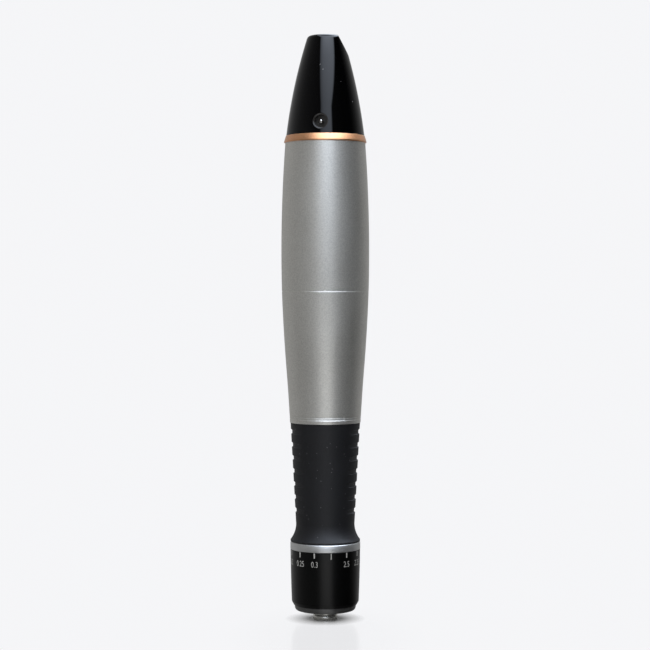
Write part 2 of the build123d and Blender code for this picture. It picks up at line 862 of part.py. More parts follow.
# Armature: three poles with shoes on a hub
armature_radius = magnet_radius - magnet_thickness - armature_gap
shoe_radius = armature_radius - pole_shoe_thickness
pole_pitch = 360 / armature_poles
with BuildPart() as armature:
    with BuildSketch(Plane.XY.offset(z_magnet)):
        Circle(armature_hub_radius)
        with PolarLocations(shoe_radius / 2, armature_poles):
            Rectangle(shoe_radius + pole_shoe_thickness / 2, pole_width)
        Circle(shaft_radius + seat_clearance, mode=Mode.SUBTRACT)
    extrude(amount=magnet_length)
    for number in range(armature_poles):
        with BuildSketch(upright(number * pole_pitch - pole_shoe_degrees / 2)):
            tube_wall(shoe_radius, armature_radius, z_magnet, z_magnet + magnet_length)
        revolve(axis=Axis.Z, revolution_arc=pole_shoe_degrees)
finish(armature, "armature")

# Windings around the poles, a block in each gap with its ends bulging past the poles
with BuildPart() as windings:
    with BuildSketch(Plane.XY.offset(z_magnet - winding_overhang)):
        Circle(shoe_radius - winding_gap)
        Circle(armature_hub_radius + winding_gap, mode=Mode.SUBTRACT)
        with PolarLocations(shoe_radius / 2, armature_poles):
            Rectangle(2 * shoe_radius, pole_width + 2 * winding_gap, mode=Mode.SUBTRACT)
    extrude(amount=magnet_length + 2 * winding_overhang)
finish(windings, "motor_windings")

# Commutator and the two brushes that press on it
z_commutator = z_magnet + magnet_length + winding_overhang + commutator_gap
with BuildPart() as commutator:
    with BuildSketch(Plane.XZ):
        tube_wall(
            shaft_radius + seat_clearance,
            commutator_radius,
            z_commutator,
            z_commutator + commutator_length,
        )
    revolve(axis=Axis.Z)
finish(commutator, "commutator")

z_brush = z_commutator + commutator_gap
with BuildPart() as motor_brushes:
    with BuildSketch(Plane.XY.offset(z_brush)):
        for side in (1, -1):
            with Locations((0, side * (commutator_radius + brush_gap + brush_length / 2))):
                Rectangle(brush_width, brush_length)
    extrude(amount=z_end_cap - z_brush)
finish(motor_brushes, "motor_brushes")

# Terminals on the end cap
with BuildPart() as motor_terminals:
    with BuildSketch(Plane.XY.offset(z_motor_top)):
        for side in (1, -1):
            with Locations((side * terminal_circle_radius, 0)):
                Rectangle(terminal_width, terminal_thickness)
    extrude(amount=terminal_height)
finish(motor_terminals, "motor_terminals")

# Rubber ring that holds the motor's rear end in the shell
with BuildPart() as motor_damper:
    with BuildSketch(Plane.XZ):
        tube_wall(
            motor_radius + seat_clearance,
            front_bore - seat_clearance,
            z_motor_top - damper_inset - damper_length,
            z_motor_top - damper_inset,
        )
    revolve(axis=Axis.Z)
finish(motor_damper, "motor_damper")

# Face cam on the shaft: a disc with a ring of two ramps below it. Each ramp is a block swept along a
# helix. It falls by the stroke over half a turn, the other hand rises, and a small land is the peak.
ramp_start = z_peak - ramp_overlap_share * needle_stroke
ramp_length = needle_stroke * (1 + 2 * ramp_overlap_share)
ramp_inner_radius = rod_radius + ramp_room
ramp_thickness = needle_stroke + ramp_bite
with BuildPart() as face_cam:
    with BuildSketch(Plane.XY.offset(z_valley + cam_land)):
        Circle(cam_radius)
    extrude(amount=z_cam_top - z_valley - cam_land)
    for hand in (1, -1):
        with BuildLine(Plane.XY.offset(ramp_start), mode=Mode.PRIVATE) as half_turn:
            Helix(
                pitch=2 * needle_stroke,
                height=ramp_length,
                radius=follower_circle_radius,
                lefthand=hand < 0,
            )
        ramp = half_turn.line.rotate(Axis.Z, -hand * 180 * ramp_overlap_share)
        outwards = ramp @ 0
        with BuildSketch(Plane(origin=ramp @ 0, x_dir=(outwards.X, outwards.Y, 0), z_dir=ramp % 0)):
            ring_offset = (ramp_inner_radius + cam_radius) / 2 - follower_circle_radius
            with Locations((ring_offset, -hand * ramp_thickness / 2)):
                Rectangle(cam_radius - ramp_inner_radius, ramp_thickness)
        sweep(path=ramp, is_frenet=True)
    # Land at the peak
    with BuildSketch(Plane.XY.offset(z_peak + cam_land)):
        Circle(cam_radius + overrun)
    extrude(amount=-overrun, mode=Mode.SUBTRACT)
    with BuildSketch(Plane.XY.offset(z_peak)):
        Circle(shaft_radius + seat_clearance)
    extrude(amount=z_cam_top - z_peak, mode=Mode.SUBTRACT)
    with BuildSketch(facing(180, 0)):
        with Locations((0, z_cam_top - set_screw_height)):
            Circle(set_screw_radius + seat_clearance)
    extrude(amount=cam_radius + overrun, mode=Mode.SUBTRACT)
finish(face_cam, "face_cam")

# Set screw that locks the cam on the shaft
with BuildPart() as cam_set_screw:
    with BuildSketch(facing(180, shaft_radius)):
        with Locations((0, z_cam_top - set_screw_height)):
            Circle(set_screw_radius)
    extrude(amount=set_screw_length)
finish(cam_set_screw, "cam_set_screw")

# Front shell: a swelling tube with a bore for the motor, a ledge for the tray and a spigot at the seam
z_hip = z_front + hip_height
z_spigot_top = z_seam + seam_spigot_length
with BuildPart() as front_shell:
    with BuildSketch(Plane.XZ):
        with BuildLine():
            Polyline(
                (front_end_radius, z_front),
                (front_bore, z_front),
                (front_bore, z_tray),
                (rear_bore, z_tray),
                (rear_bore, z_spigot_top),
                (seam_spigot_radius, z_spigot_top),
                (seam_spigot_radius, z_seam),
                (seam_radius - seam_reveal, z_seam),
                (seam_radius, z_seam - seam_reveal),
            )
            hip_arc = SagittaArc((seam_radius, z_seam - seam_reveal), (hip_radius, z_hip), front_bulge)
            TangentArc((hip_radius, z_hip), (front_end_radius, z_front), tangent=hip_arc % 1)
        make_face()
    revolve(axis=Axis.Z)
    # Groove for the seam's seal
    with BuildSketch(Plane.XZ):
        with Locations((seam_spigot_radius, z_seam + seam_seal_inset)):
            Rectangle(2 * seam_seal_wire, seam_seal_wire + 2 * seat_clearance)
    revolve(axis=Axis.Z, mode=Mode.SUBTRACT)
finish(front_shell, "front_shell")

# Seal in the seam
with BuildPart() as seam_seal:
    with BuildSketch(Plane.XZ):
        with Locations((seam_spigot_radius - seam_seal_wire / 2, z_seam + seam_seal_inset)):
            Circle(seam_seal_wire / 2 - seat_clearance)
    revolve(axis=Axis.Z)
finish(seam_seal, "seam_seal")

# Power button, sized to stop on the bore inside the back of the rear shell
z_button = z_seam + button_height_above_seam
button_flange_radius = button_radius + button_flange_extra
y_flange = math.sqrt(rear_bore**2 - button_flange_radius**2) - button_room - button_flange_thickness
y_switch = y_flange - button_travel - switch_gap
y_board = cell_radius - cell_offset + board_gap
y_board_face = y_board + board_thickness
y_button = rear_radius(z_button) + button_proud
with BuildPart() as power_button:
    with BuildSketch(facing(90, y_flange)):
        with Locations((0, z_button)):
            Circle(button_radius)
    extrude(amount=y_button - y_flange)
    fillet(
        power_button.edges().filter_by(GeomType.CIRCLE).sort_by(Axis.Y)[-1], button_edge_rounding
    )
    with BuildSketch(facing(90, y_flange)):
        with Locations((0, z_button)):
            Circle(button_flange_radius)
    extrude(amount=button_flange_thickness)
    # Shallow finger dish
    with Locations((0, y_button + button_dish_radius - button_dish_depth, z_button)):
        Sphere(button_dish_radius, mode=Mode.SUBTRACT)
finish(power_button, "power_button")

# Plunger of the switch, which travels with the button
with BuildPart() as switch_plunger:
    with BuildSketch(facing(90, y_switch - plunger_room)):
        with Locations((0, z_button)):
            Circle(plunger_radius)
    extrude(amount=y_flange - y_switch + plunger_room)
finish(switch_plunger, "switch_plunger")

# Tact switch on the board, with a well for its plunger
with BuildPart() as tact_switch:
    with BuildSketch(facing(90, y_board_face)):
        with Locations((0, z_button)):
            Rectangle(2 * switch_half_width, 2 * switch_half_width)
    extrude(amount=y_switch - y_board_face)
    with BuildSketch(facing(90, y_switch - plunger_depth)):
        with Locations((0, z_button)):
            Circle(plunger_radius + slide_clearance)
    extrude(amount=plunger_depth + overrun, mode=Mode.SUBTRACT)
finish(tact_switch, "tact_switch")

# Indicator lens in the back of the rear shell
z_indicator = z_button + indicator_spacing
lens_flange_radius = indicator_radius + indicator_flange_extra
y_lens = math.sqrt(rear_bore**2 - lens_flange_radius**2) - seat_clearance - indicator_flange_thickness
with BuildPart() as indicator_lens:
    with BuildSketch(facing(90, y_lens)):
        with Locations((0, z_indicator)):
            Circle(lens_flange_radius)
    extrude(amount=indicator_flange_thickness)
    with BuildSketch(facing(90, y_lens)):
        with Locations((0, z_indicator)):
            Circle(indicator_radius)
    extrude(amount=rear_radius(z_indicator) - seat_clearance - y_lens)
finish(indicator_lens, "indicator_lens")

# Rear shell: gently bulging tube with a socket for the seam's spigot and holes for button and lens
with BuildPart() as rear_shell:
    with BuildSketch(Plane.XZ):
        with BuildLine():
            Polyline(
                (seam_radius, z_seam + seam_reveal),
                (seam_radius - seam_reveal, z_seam),
                (seam_socket_radius, z_seam),
                (seam_socket_radius, z_spigot_top + seat_clearance),
                (rear_bore, z_spigot_top + seat_clearance),
                (rear_bore, z_trim),
                (rear_top_radius, z_trim),
            )
            SagittaArc((rear_top_radius, z_trim), (seam_radius, z_seam + seam_reveal), rear_bulge)
        make_face()
    revolve(axis=Axis.Z)
    with BuildSketch(facing(90, 0)):
        with Locations((0, z_button)):
            Circle(button_radius + button_room)
        with Locations((0, z_indicator)):
            Circle(indicator_radius + seat_clearance)
    extrude(amount=seam_radius + overrun, mode=Mode.SUBTRACT)
finish(rear_shell, "rear_shell")

# Tray: two bulkheads joined by two grooved rails that hold the board beside the cell
y_board_middle = y_board + board_thickness / 2
rail_reach = board_half_width - rail_inset
motor_lead_places = [(terminal_circle_radius, y_board_middle), (-terminal_circle_radius, y_board_middle)]
inlet_turn = math.radians(inlet_turn_degrees)
inlet_plane = Plane(
    origin=(0, 0, z_inlet),
    x_dir=(math.cos(inlet_turn), math.sin(inlet_turn), 0),
    z_dir=(math.sin(inlet_turn), -math.cos(inlet_turn), 0),
)
jack_lead_places = []
for side in (1, -1):
    place = inlet_plane.from_local_coords((side * jack_lead_spread, 0, -y_board_middle))
    jack_lead_places.append((place.X, place.Y))
with BuildPart() as battery_tray:
    with BuildSketch(Plane.XY.offset(z_tray)):
        Circle(tray_radius)
    extrude(amount=bulkhead_thickness)
    with BuildSketch(Plane.XY.offset(z_tray)):
        with Locations(motor_lead_places):
            Circle(lead_radius + lead_hole_room)
    extrude(amount=bulkhead_thickness, mode=Mode.SUBTRACT)
    with BuildSketch(Plane.XY.offset(z_upper_bulkhead)):
        Circle(tray_radius)
        with Locations(jack_lead_places):
            Circle(lead_radius + lead_hole_room, mode=Mode.SUBTRACT)
    extrude(amount=bulkhead_thickness)
    with BuildSketch(Plane.XY.offset(z_bulkhead_top)):
        for side in (1, -1):
            with Locations((side * (rail_reach + tray_radius) / 2, y_board_middle)):
                Rectangle(tray_radius - rail_reach, rail_height)
        Circle(tray_radius, mode=Mode.INTERSECT)
        with Locations((0, y_board_middle)):
            Rectangle(
                2 * (board_half_width + board_groove_room),
                board_thickness + 2 * board_groove_room,
                mode=Mode.SUBTRACT,
            )
    extrude(amount=z_upper_bulkhead - z_bulkhead_top)
finish(battery_tray, "battery_tray")

# Cell with its raised end contact
with BuildPart() as battery_cell:
    with BuildSketch(Plane.XY.offset(z_cell)):
        with Locations((0, -cell_offset)):
            Circle(cell_radius)
    extrude(amount=cell_length)
    with BuildSketch(Plane.XY.offset(z_cell)):
        with Locations((0, -cell_offset)):
            Circle(cell_button_radius)
    extrude(amount=cell_length + cell_button_height)
finish(battery_cell, "battery_cell")

# Foam pads at both ends of the cell
with BuildPart() as cell_pads:
    for level, thickness in (
        (z_bulkhead_top, cell_pad_thickness),
        (z_upper_bulkhead - cell_top_pad_thickness, cell_top_pad_thickness),
    ):
        with BuildSketch(Plane.XY.offset(level)):
            with Locations((0, -cell_offset)):
                Circle(cell_radius - cell_room)
        extrude(amount=thickness)
finish(cell_pads, "cell_pads")

# Tabs from the ends of the cell to the board
with BuildPart() as cell_tabs:
    for level in (z_cell - tab_thickness, z_cell_top):
        with BuildSketch(Plane.XY.offset(level)):
            with Locations((0, (y_board - cell_offset - cell_button_radius) / 2)):
                Rectangle(tab_width, y_board + cell_offset + cell_button_radius)
        extrude(amount=tab_thickness)
finish(cell_tabs, "cell_tabs")

# Circuit board between the bulkheads
with BuildPart() as circuit_board:
    with BuildSketch(Plane.XY.offset(z_bulkhead_top)):
        with Locations((0, y_board_middle)):
            Rectangle(2 * board_half_width, board_thickness)
    extrude(amount=z_upper_bulkhead - z_bulkhead_top)
finish(circuit_board, "circuit_board")

# Parts on the board: connector, controller between it and the switch, lamp behind the lens, and coil
z_connector = z_bulkhead_top + connector_length
z_chip = (z_connector + connector_length / 2 + z_button - switch_half_width) / 2
with BuildPart() as board_components:
    with BuildSketch(facing(90, y_board_face)):
        with Locations((0, z_chip)):
            Rectangle(chip_size, chip_size)
        with Locations((0, z_indicator)):
            Rectangle(2 * indicator_radius, 2 * indicator_radius)
    extrude(amount=chip_height)
    with BuildSketch(facing(90, y_board_face)):
        with Locations((0, z_indicator + chip_size + coil_radius)):
            Circle(coil_radius)
    extrude(amount=coil_height)
    with BuildSketch(facing(90, y_board_face)):
        with Locations((0, z_connector)):
            Rectangle(connector_width, connector_length)
    extrude(amount=connector_height)
finish(board_components, "board_components")

# Leads from the motor's terminals up to the board
with BuildPart() as motor_leads:
    for side in (1, -1):
        with BuildLine(Plane.YZ.offset(side * terminal_circle_radius)) as route:
            FilletPolyline(
                (terminal_thickness / 2, z_motor_top + motor_lead_height),
                (y_board_middle, z_motor_top + motor_lead_height),
                (y_board_middle, z_bulkhead_top),
                radius=lead_bend_radius,
            )
        with BuildSketch(Plane(origin=route.line @ 0, z_dir=route.line % 0)):
            Circle(lead_radius)
        sweep(path=route.line)
finish(motor_leads, "motor_leads")

# Trim ring between the rear shell and the tail cap
with BuildPart() as trim_ring:
    with BuildSketch(Plane.XZ):
        with BuildLine():
            Polyline(
                (cap_spigot_radius + seat_clearance, z_trim),
                (trim_bottom_radius, z_trim),
                (trim_bottom_radius, z_trim + trim_rounding),
                (cap_base_radius + trim_step, z_cap),
                (cap_spigot_radius + seat_clearance, z_cap),
                close=True,
            )
        make_face()
    revolve(axis=Axis.Z)
    rim = trim_ring.edges().filter_by(GeomType.CIRCLE).group_by(Axis.Z)[0].sort_by(SortBy.RADIUS)[-1]
    chamfer(rim, trim_rounding / 2)
finish(trim_ring, "trim_ring")

# Tail cap: hollow ogive with a flat near the top on the +X side and a hole for the inlet
facet_lean = math.radians(facet_lean_degrees)
with BuildPart() as tail_cap:
    with BuildSketch(Plane.XZ):
        with BuildLine():
            Polyline(
                (0, z_top),
                (cap_top_radius, z_top),
            )
            SagittaArc((cap_top_radius, z_top), (cap_base_radius, z_cap), cap_bulge)
            Polyline(
                (cap_base_radius, z_cap),
                (cap_spigot_radius, z_cap),
                (cap_spigot_radius, z_trim - cap_spigot_length),
                (cap_cavity_radius, z_trim - cap_spigot_length),
                (cap_cavity_radius, z_cap + cap_cavity_straight),
            )
            SagittaArc(
                (cap_cavity_radius, z_cap + cap_cavity_straight),
                (cap_cavity_top_radius, z_top - cap_top_wall),
                -cap_bulge,
            )
            Polyline(
                (cap_cavity_top_radius, z_top - cap_top_wall),
                (0, z_top - cap_top_wall),
                (0, z_top),
            )
        make_face()
    revolve(axis=Axis.Z)
    fillet(tail_cap.edges().filter_by(GeomType.CIRCLE).group_by(Axis.Z)[-1], cap_edge_rounding)
    # The flat
    facet_plane = Plane(
        origin=(facet_top_radius, 0, z_top),
        x_dir=(0, 1, 0),
        z_dir=(math.cos(facet_lean), 0, math.sin(facet_lean)),
    )
    with BuildSketch(facet_plane):
        Rectangle(2 * cap_length, 2 * cap_length)
    extrude(amount=cap_base_radius, mode=Mode.SUBTRACT)
    with BuildSketch(inlet_plane):
        Circle(inlet_radius)
    extrude(amount=cap_base_radius + overrun, mode=Mode.SUBTRACT)
finish(tail_cap, "tail_cap")

# Jack behind the inlet: body inside the cap, and a round nose that fills the cap's hole
jack_front = math.sqrt(cap_cavity_radius**2 - (jack_width / 2) ** 2) - jack_wall_room
jack_back = jack_front - jack_depth
jack_face = cap_radius(z_inlet) - inlet_nose_recess
jack_nose_radius = inlet_radius - seat_clearance
with BuildPart() as dc_jack_body:
    with BuildSketch(inlet_plane.offset(jack_back)):
        Rectangle(jack_width, jack_height)
    extrude(amount=jack_depth)
    with BuildSketch(inlet_plane.offset(jack_back)):
        Circle(jack_nose_radius)
    extrude(amount=jack_face - jack_back)
    with BuildSketch(inlet_plane.offset(jack_face - jack_bore_depth)):
        Circle(jack_nose_radius - jack_nose_wall)
    extrude(amount=jack_bore_depth, mode=Mode.SUBTRACT)
finish(dc_jack_body, "dc_jack_body")

# Centre pin of the jack
with BuildPart() as dc_jack_pin:
    with BuildSketch(inlet_plane.offset(jack_face - jack_bore_depth)):
        Circle(jack_pin_radius)
    extrude(amount=jack_bore_depth - jack_pin_recess)
finish(dc_jack_pin, "dc_jack_pin")

# Solder tags at the back of the jack
with BuildPart() as dc_jack_tags:
    with BuildSketch(inlet_plane.offset(jack_back - jack_tag_length)):
        for side in (1, -1):
            with Locations((side * jack_lead_spread, 0)):
                Rectangle(jack_tag_width, jack_tag_thickness)
    extrude(amount=jack_tag_length)
finish(dc_jack_tags, "dc_jack_tags")

# Leads from the board up to the jack's tags
with BuildPart() as jack_leads:
    for side in (1, -1):
        lead_plane = Plane(
            origin=inlet_plane.from_local_coords((side * jack_lead_spread, 0, 0)),
            x_dir=inlet_plane.z_dir,
            z_dir=-inlet_plane.x_dir,
        )
        with BuildLine(lead_plane) as route:
            FilletPolyline(
                (-y_board_middle, z_upper_bulkhead - z_inlet),
                (-y_board_middle, 0),
                (jack_back - jack_tag_length, 0),
                radius=lead_bend_radius,
            )
        with BuildSketch(Plane(origin=route.line @ 0, z_dir=route.line % 0)):
            Circle(lead_radius)
        sweep(path=route.line)
finish(jack_leads, "jack_leads")
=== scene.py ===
import json
import math

import bmesh
import bpy
from bpy.props import FloatProperty, FloatVectorProperty, IntProperty, PointerProperty
from mathutils import Matrix, Vector


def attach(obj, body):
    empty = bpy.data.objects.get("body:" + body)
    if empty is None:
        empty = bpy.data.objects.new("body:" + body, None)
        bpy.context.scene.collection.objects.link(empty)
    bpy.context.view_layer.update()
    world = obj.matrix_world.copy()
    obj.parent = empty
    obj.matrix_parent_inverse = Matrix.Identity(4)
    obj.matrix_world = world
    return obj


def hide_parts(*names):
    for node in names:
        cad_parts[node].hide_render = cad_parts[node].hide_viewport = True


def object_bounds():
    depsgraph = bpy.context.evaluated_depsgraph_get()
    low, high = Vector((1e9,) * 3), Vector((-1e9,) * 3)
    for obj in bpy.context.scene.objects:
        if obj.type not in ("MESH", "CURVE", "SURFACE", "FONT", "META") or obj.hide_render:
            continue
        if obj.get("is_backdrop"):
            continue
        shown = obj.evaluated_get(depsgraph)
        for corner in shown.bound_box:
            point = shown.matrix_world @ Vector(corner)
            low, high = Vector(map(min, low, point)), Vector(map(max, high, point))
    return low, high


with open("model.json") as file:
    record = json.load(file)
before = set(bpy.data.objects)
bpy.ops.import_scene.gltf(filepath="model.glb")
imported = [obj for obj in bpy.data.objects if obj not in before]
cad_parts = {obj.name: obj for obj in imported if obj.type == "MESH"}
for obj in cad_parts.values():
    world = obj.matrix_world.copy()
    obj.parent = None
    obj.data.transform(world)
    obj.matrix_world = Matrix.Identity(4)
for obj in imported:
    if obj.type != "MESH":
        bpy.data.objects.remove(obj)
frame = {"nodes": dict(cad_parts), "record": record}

bl_info = {
    "name": "Needling pen dressing",
    "version": (1, 0, 0),
    "blender": (4, 5, 0),
    "location": "3D View > Sidebar > Pen",
    "description": "Builds the visible pieces, finishes and studio of a needling pen",
    "category": "Object",
}

# Outlines are in millimetres of (radius, height) on the pen's axis, as the CAD model has them.
MM = 0.001
SIDES = 288
FINE_SIDES = 384
HOLE_SIDES = 96
ROUNDING_STEPS = 6
CREASE_DEGREES = 32

# Levels along the pen
NOSE = 2.5
DIAL_FOOT = 4.1
DIAL_TOP = 19.95
RING_FOOT = 20.0
GRIP_FOOT = 22.1
GRIP_TOP = 55.8
HIP = 71.0
SEAM = 93.0
SPIGOT_TOP = 98.8
TRIM_FOOT = 134.8
CAP_FOOT = 136.8
INLET_LEVEL = 140.2
TAIL = 165.0
BUTTON_LEVEL = 104.0
LENS_LEVEL = 112.0

# Radii that several pieces share, and the gap between pieces that sit in each other
ROD_HEAD = 3.45
SOCKET = 6.92
SLEEVE = 7.96
TIER = 8.67
DIAL_BORE = 8.06
NECK = 8.91
DIAL_RIM_BORE = 9.01
DIAL_TOP_RADIUS = 9.88
DIAL_FOOT_RADIUS = 9.50
WAIST = 8.29
GRIP_TOP_RADIUS = 9.85
GRIP_LIP = 9.86
REAR_BORE = 9.70
SEAM_RADIUS = 12.28
REAR_TOP_RADIUS = 11.31
CAP_RADIUS = 11.05
INLET_RADIUS = 2.25
FIT = 0.03

# Azimuths in degrees from the front, to the right
INLET_TURN = -8.0
BACK = 180

# Brightness of the room in reflections, by azimuth
ROOM_WALLS = (
    (-180, 0.42), (-125, 0.37), (-100, 0.27), (-86, 0.20), (-72, 0.155), (-50, 0.11), (-28, 0.08), (28, 0.04),
    (44, 0.025), (60, 0.01), (88, 0.01), (104, 0.10), (120, 0.26), (138, 0.36), (180, 0.42),
)
# Tall softbox in front, by azimuth and by elevation in degrees
SOFTBOX_WIDTH = (
    (-180, 0.0), (-16.5, 0.0), (-13, 0.5), (-6, 0.8), (8, 1.0), (18, 1.0), (22.5, 0.0), (180, 0.0),
)
SOFTBOX_HEIGHT = (
    (-90, 0.5), (-25, 1.45), (-12, 1.15), (-5, 0.0), (5, 0.0), (10, 1.35), (15, 2.05), (20, 2.0), (26, 2.2),
    (33, 2.9), (37, 3.3), (40, 4.0), (43, 5.3), (48, 6.0), (65, 4.0), (90, 0.6),
)
SOFTBOX_PEAK = 6.9
# Tint of the softbox, and the elevations between which it goes from neutral to that tint
SOFTBOX_TINT = (0.89, 0.98, 1.14)
TINT_RISE = (-10.0, 8.0)
# How far the softbox leans over the pen on its left and right, so that it looks wider higher up, and
# the height in a unit sphere where the lean starts
SOFTBOX_LEANS = (3.6, 7.0)
LEAN_START = 0.42
# Low glow beside the softbox, by azimuth and by elevation in degrees
SIDE_GLOW = (
    (-180, 0.0), (-85, 0.0), (-60, 0.10), (-42, 0.20), (-26, 0.50), (-16, 0.65), (-6, 0.35), (0, 0.0),
    (14, 0.0), (20, 0.3), (27, 0.15), (36, 0.0), (180, 0.0),
)
SIDE_GLOW_HEIGHT = (
    (-90, 0.0), (-16, 0.0), (-11, 0.7), (-6, 0.1), (5, 0.1), (10, 1.1), (14, 1.1), (18, 0.1), (19, 0.0),
    (90, 0.0),
)

# Sockets of a Mix node for colours
MIX_FACTOR, MIX_UNDER, MIX_OVER, MIX_RESULT = 0, 6, 7, 2
# Width of smudges in millimetres
SMUDGE_SIZE = 18
# How strongly smudges, edge wear and dust show
SMUDGE_SHARE, WEAR_SHARE, DUST_SHARE = 0.3, 0.7, 0.8


# Outlines

def bow(start, end, rise, steps):
    """Points of a flat arc from start to end that rises to the left of its chord by rise."""
    start, end = Vector(start), Vector(end)
    chord = end - start
    half = chord.length / 2
    radius = (half * half + rise * rise) / (2 * rise)
    side = Vector((-chord.y, chord.x)).normalized()
    centre = (start + end) / 2 + side * (rise - radius)
    first = math.atan2(start.y - centre.y, start.x - centre.x)
    turn = 2 * math.asin(half / abs(radius))
    turn = -turn if rise > 0 else turn
    points = []
    for step in range(steps + 1):
        angle = first + turn * step / steps
        points.append((centre.x + abs(radius) * math.cos(angle), centre.y + abs(radius) * math.sin(angle)))
    return points


def tangent_bow(start, heading, end, steps):
    """Points of an arc from start, leaving along heading, to end."""
    start, end, heading = Vector(start), Vector(end), Vector(heading).normalized()
    chord = end - start
    lean = math.atan2(heading.x * chord.y - heading.y * chord.x, heading.dot(chord))
    return bow(start, end, -chord.length / 2 * math.tan(lean / 2), steps)


def rounded(points):
    """Closed outline in which a point's third value eases its corner by that length on both sides."""
    outline = []
    for index, point in enumerate(points):
        here = Vector(point[:2])
        if len(point) < 3:
            outline.append((here.x, here.y))
            continue
        before = Vector(points[index - 1][:2]) - here
        after = Vector(points[(index + 1) % len(points)][:2]) - here
        start = here + before.normalized() * min(point[2], before.length)
        end = here + after.normalized() * min(point[2], after.length)
        for step in range(ROUNDING_STEPS + 1):
            share = step / ROUNDING_STEPS
            eased = start * (1 - share) ** 2 + here * 2 * share * (1 - share) + end * share ** 2
            outline.append((eased.x, eased.y))
    return outline


# Meshes

def turned(outline, sides=SIDES):
    """Bmesh of an outline turned about the pen's axis. Points on the axis close the form."""
    mesh = bmesh.new()
    rings = []
    for radius, height in outline:
        if radius < MM:
            rings.append([mesh.verts.new((0, 0, height * MM))])
            continue
        ring = []
        for side in range(sides):
            angle = math.tau * side / sides
            place = (radius * MM * math.cos(angle), radius * MM * math.sin(angle), height * MM)
            ring.append(mesh.verts.new(place))
        rings.append(ring)
    for low, high in zip(rings, rings[1:] + rings[:1]):
        if len(low) == 1 and len(high) == 1:
            continue
        for side in range(sides):
            after = (side + 1) % sides
            corners = [low[side % len(low)], low[after % len(low)]]
            corners += [high[after % len(high)], high[side % len(high)]]
            mesh.faces.new(dict.fromkeys(corners))
    bmesh.ops.recalc_face_normals(mesh, faces=mesh.faces)
    return mesh


def boxed(low, high):
    """Bmesh of a block between two corners, in millimetres."""
    mesh = bmesh.new()
    corners = []
    for x in (low[0], high[0]):
        for y in (low[1], high[1]):
            for z in (low[2], high[2]):
                corners.append(mesh.verts.new((x * MM, y * MM, z * MM)))
    for face in ((0, 1, 3, 2), (4, 6, 7, 5), (0, 4, 5, 1), (2, 3, 7, 6), (0, 2, 6, 4), (1, 5, 7, 3)):
        mesh.faces.new([corners[index] for index in face])
    bmesh.ops.recalc_face_normals(mesh, faces=mesh.faces)
    return mesh


def aimed(mesh, azimuth, level):
    """Stands a turned form's axis along an azimuth from the front, at a level."""
    angle = math.radians(azimuth)
    outwards = Vector((math.sin(angle), -math.cos(angle), 0))
    up = Vector((0, 0, 1))
    turn = Matrix((up.cross(outwards), up, outwards)).transposed().to_4x4()
    bmesh.ops.transform(mesh, matrix=Matrix.Translation((0, 0, level * MM)) @ turn, verts=mesh.verts)
    return mesh


def baked(name, mesh):
    """Mesh data from a bmesh, which is freed."""
    data = bpy.data.meshes.new(name)
    mesh.to_mesh(data)
    mesh.free()
    return data


def joined(mesh, extra):
    """Adds a second bmesh to a bmesh and frees the second."""
    data = baked("extra", extra)
    mesh.from_mesh(data)
    bpy.data.meshes.remove(data)


def linked(name, data):
    """New object in the scene."""
    thing = bpy.data.objects.new(name, data)
    bpy.context.scene.collection.objects.link(thing)
    return thing


def evaluated(thing):
    """Mesh data of an object as its modifiers or its text make it."""
    bpy.context.view_layer.update()
    depsgraph = bpy.context.evaluated_depsgraph_get()
    return bpy.data.meshes.new_from_object(thing.evaluated_get(depsgraph))


def shaded(data):
    """Smooth shading with sharp edges where the form creases."""
    data.polygons.foreach_set("use_smooth", [True] * len(data.polygons))
    data.set_sharp_from_angle(angle=math.radians(CREASE_DEGREES))


def placed(name, mesh, material, body, nodes=()):
    """Object from a bmesh, with its finish, that rides on a body and stands for CAD nodes."""
    data = baked(name, mesh)
    shaded(data)
    data.materials.append(material)
    piece = linked(name, data)
    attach(piece, body)
    if nodes:
        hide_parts(*nodes)
    return piece


def cut_away(piece, tool_mesh):
    """Takes a tool's volume out of a piece."""
    data = baked("tool", tool_mesh)
    tool = linked("tool", data)
    modifier = piece.modifiers.new("cut", "BOOLEAN")
    modifier.operation = "DIFFERENCE"
    modifier.solver = "EXACT"
    modifier.object = tool
    result = evaluated(piece)
    piece.modifiers.clear()
    old = piece.data
    piece.data = result
    bpy.data.meshes.remove(old)
    bpy.data.objects.remove(tool)
    bpy.data.meshes.remove(data)
    shaded(result)


def drilled(piece, radius, azimuth, level, start, end):
    """Takes a round hole out of a piece's side, between two distances from the pen's axis."""
    tool = turned([(0, start), (radius, start), (radius, end), (0, end)], HOLE_SIDES)
    cut_away(piece, aimed(tool, azimuth, level))


# Shader nodes

def fill(tree, node, values):
    """Links or sets a node's inputs, and gives its outputs."""
    for name, value in values.items():
        if isinstance(value, bpy.types.NodeSocket):
            tree.links.new(value, node.inputs[name])
        else:
            node.inputs[name].default_value = value
    return node.outputs


def add(tree, kind, values=None, **settings):
    """Adds a shader node with its properties and inputs, and gives its outputs."""
    node = tree.nodes.new("ShaderNode" + kind)
    for name, value in settings.items():
        setattr(node, name, value)
    return fill(tree, node, values or {})


def solved(tree, operation, *values):
    """Result of a sum on numbers."""
    return add(tree, "Math", dict(enumerate(values)), operation=operation)[0]


def moved(tree, operation, *values):
    """Result of a sum on vectors or colours."""
    return add(tree, "VectorMath", dict(enumerate(values)), operation=operation)[0]


def stretched(tree, vector, scale):
    """The vector times a number."""
    return add(tree, "VectorMath", {0: vector, "Scale": scale}, operation="SCALE")[0]


def length_of(tree, vector):
    """Length of a vector."""
    return add(tree, "VectorMath", {0: vector}, operation="LENGTH")["Value"]


def spread(tree, value, low, high, start=0.0, end=1.0):
    """Value brought from the range of low to high to that of start to end, and held within it."""
    ranges = {"From Min": low, "From Max": high, "To Min": start, "To Max": end}
    return add(tree, "MapRange", {"Value": value, **ranges})[0]


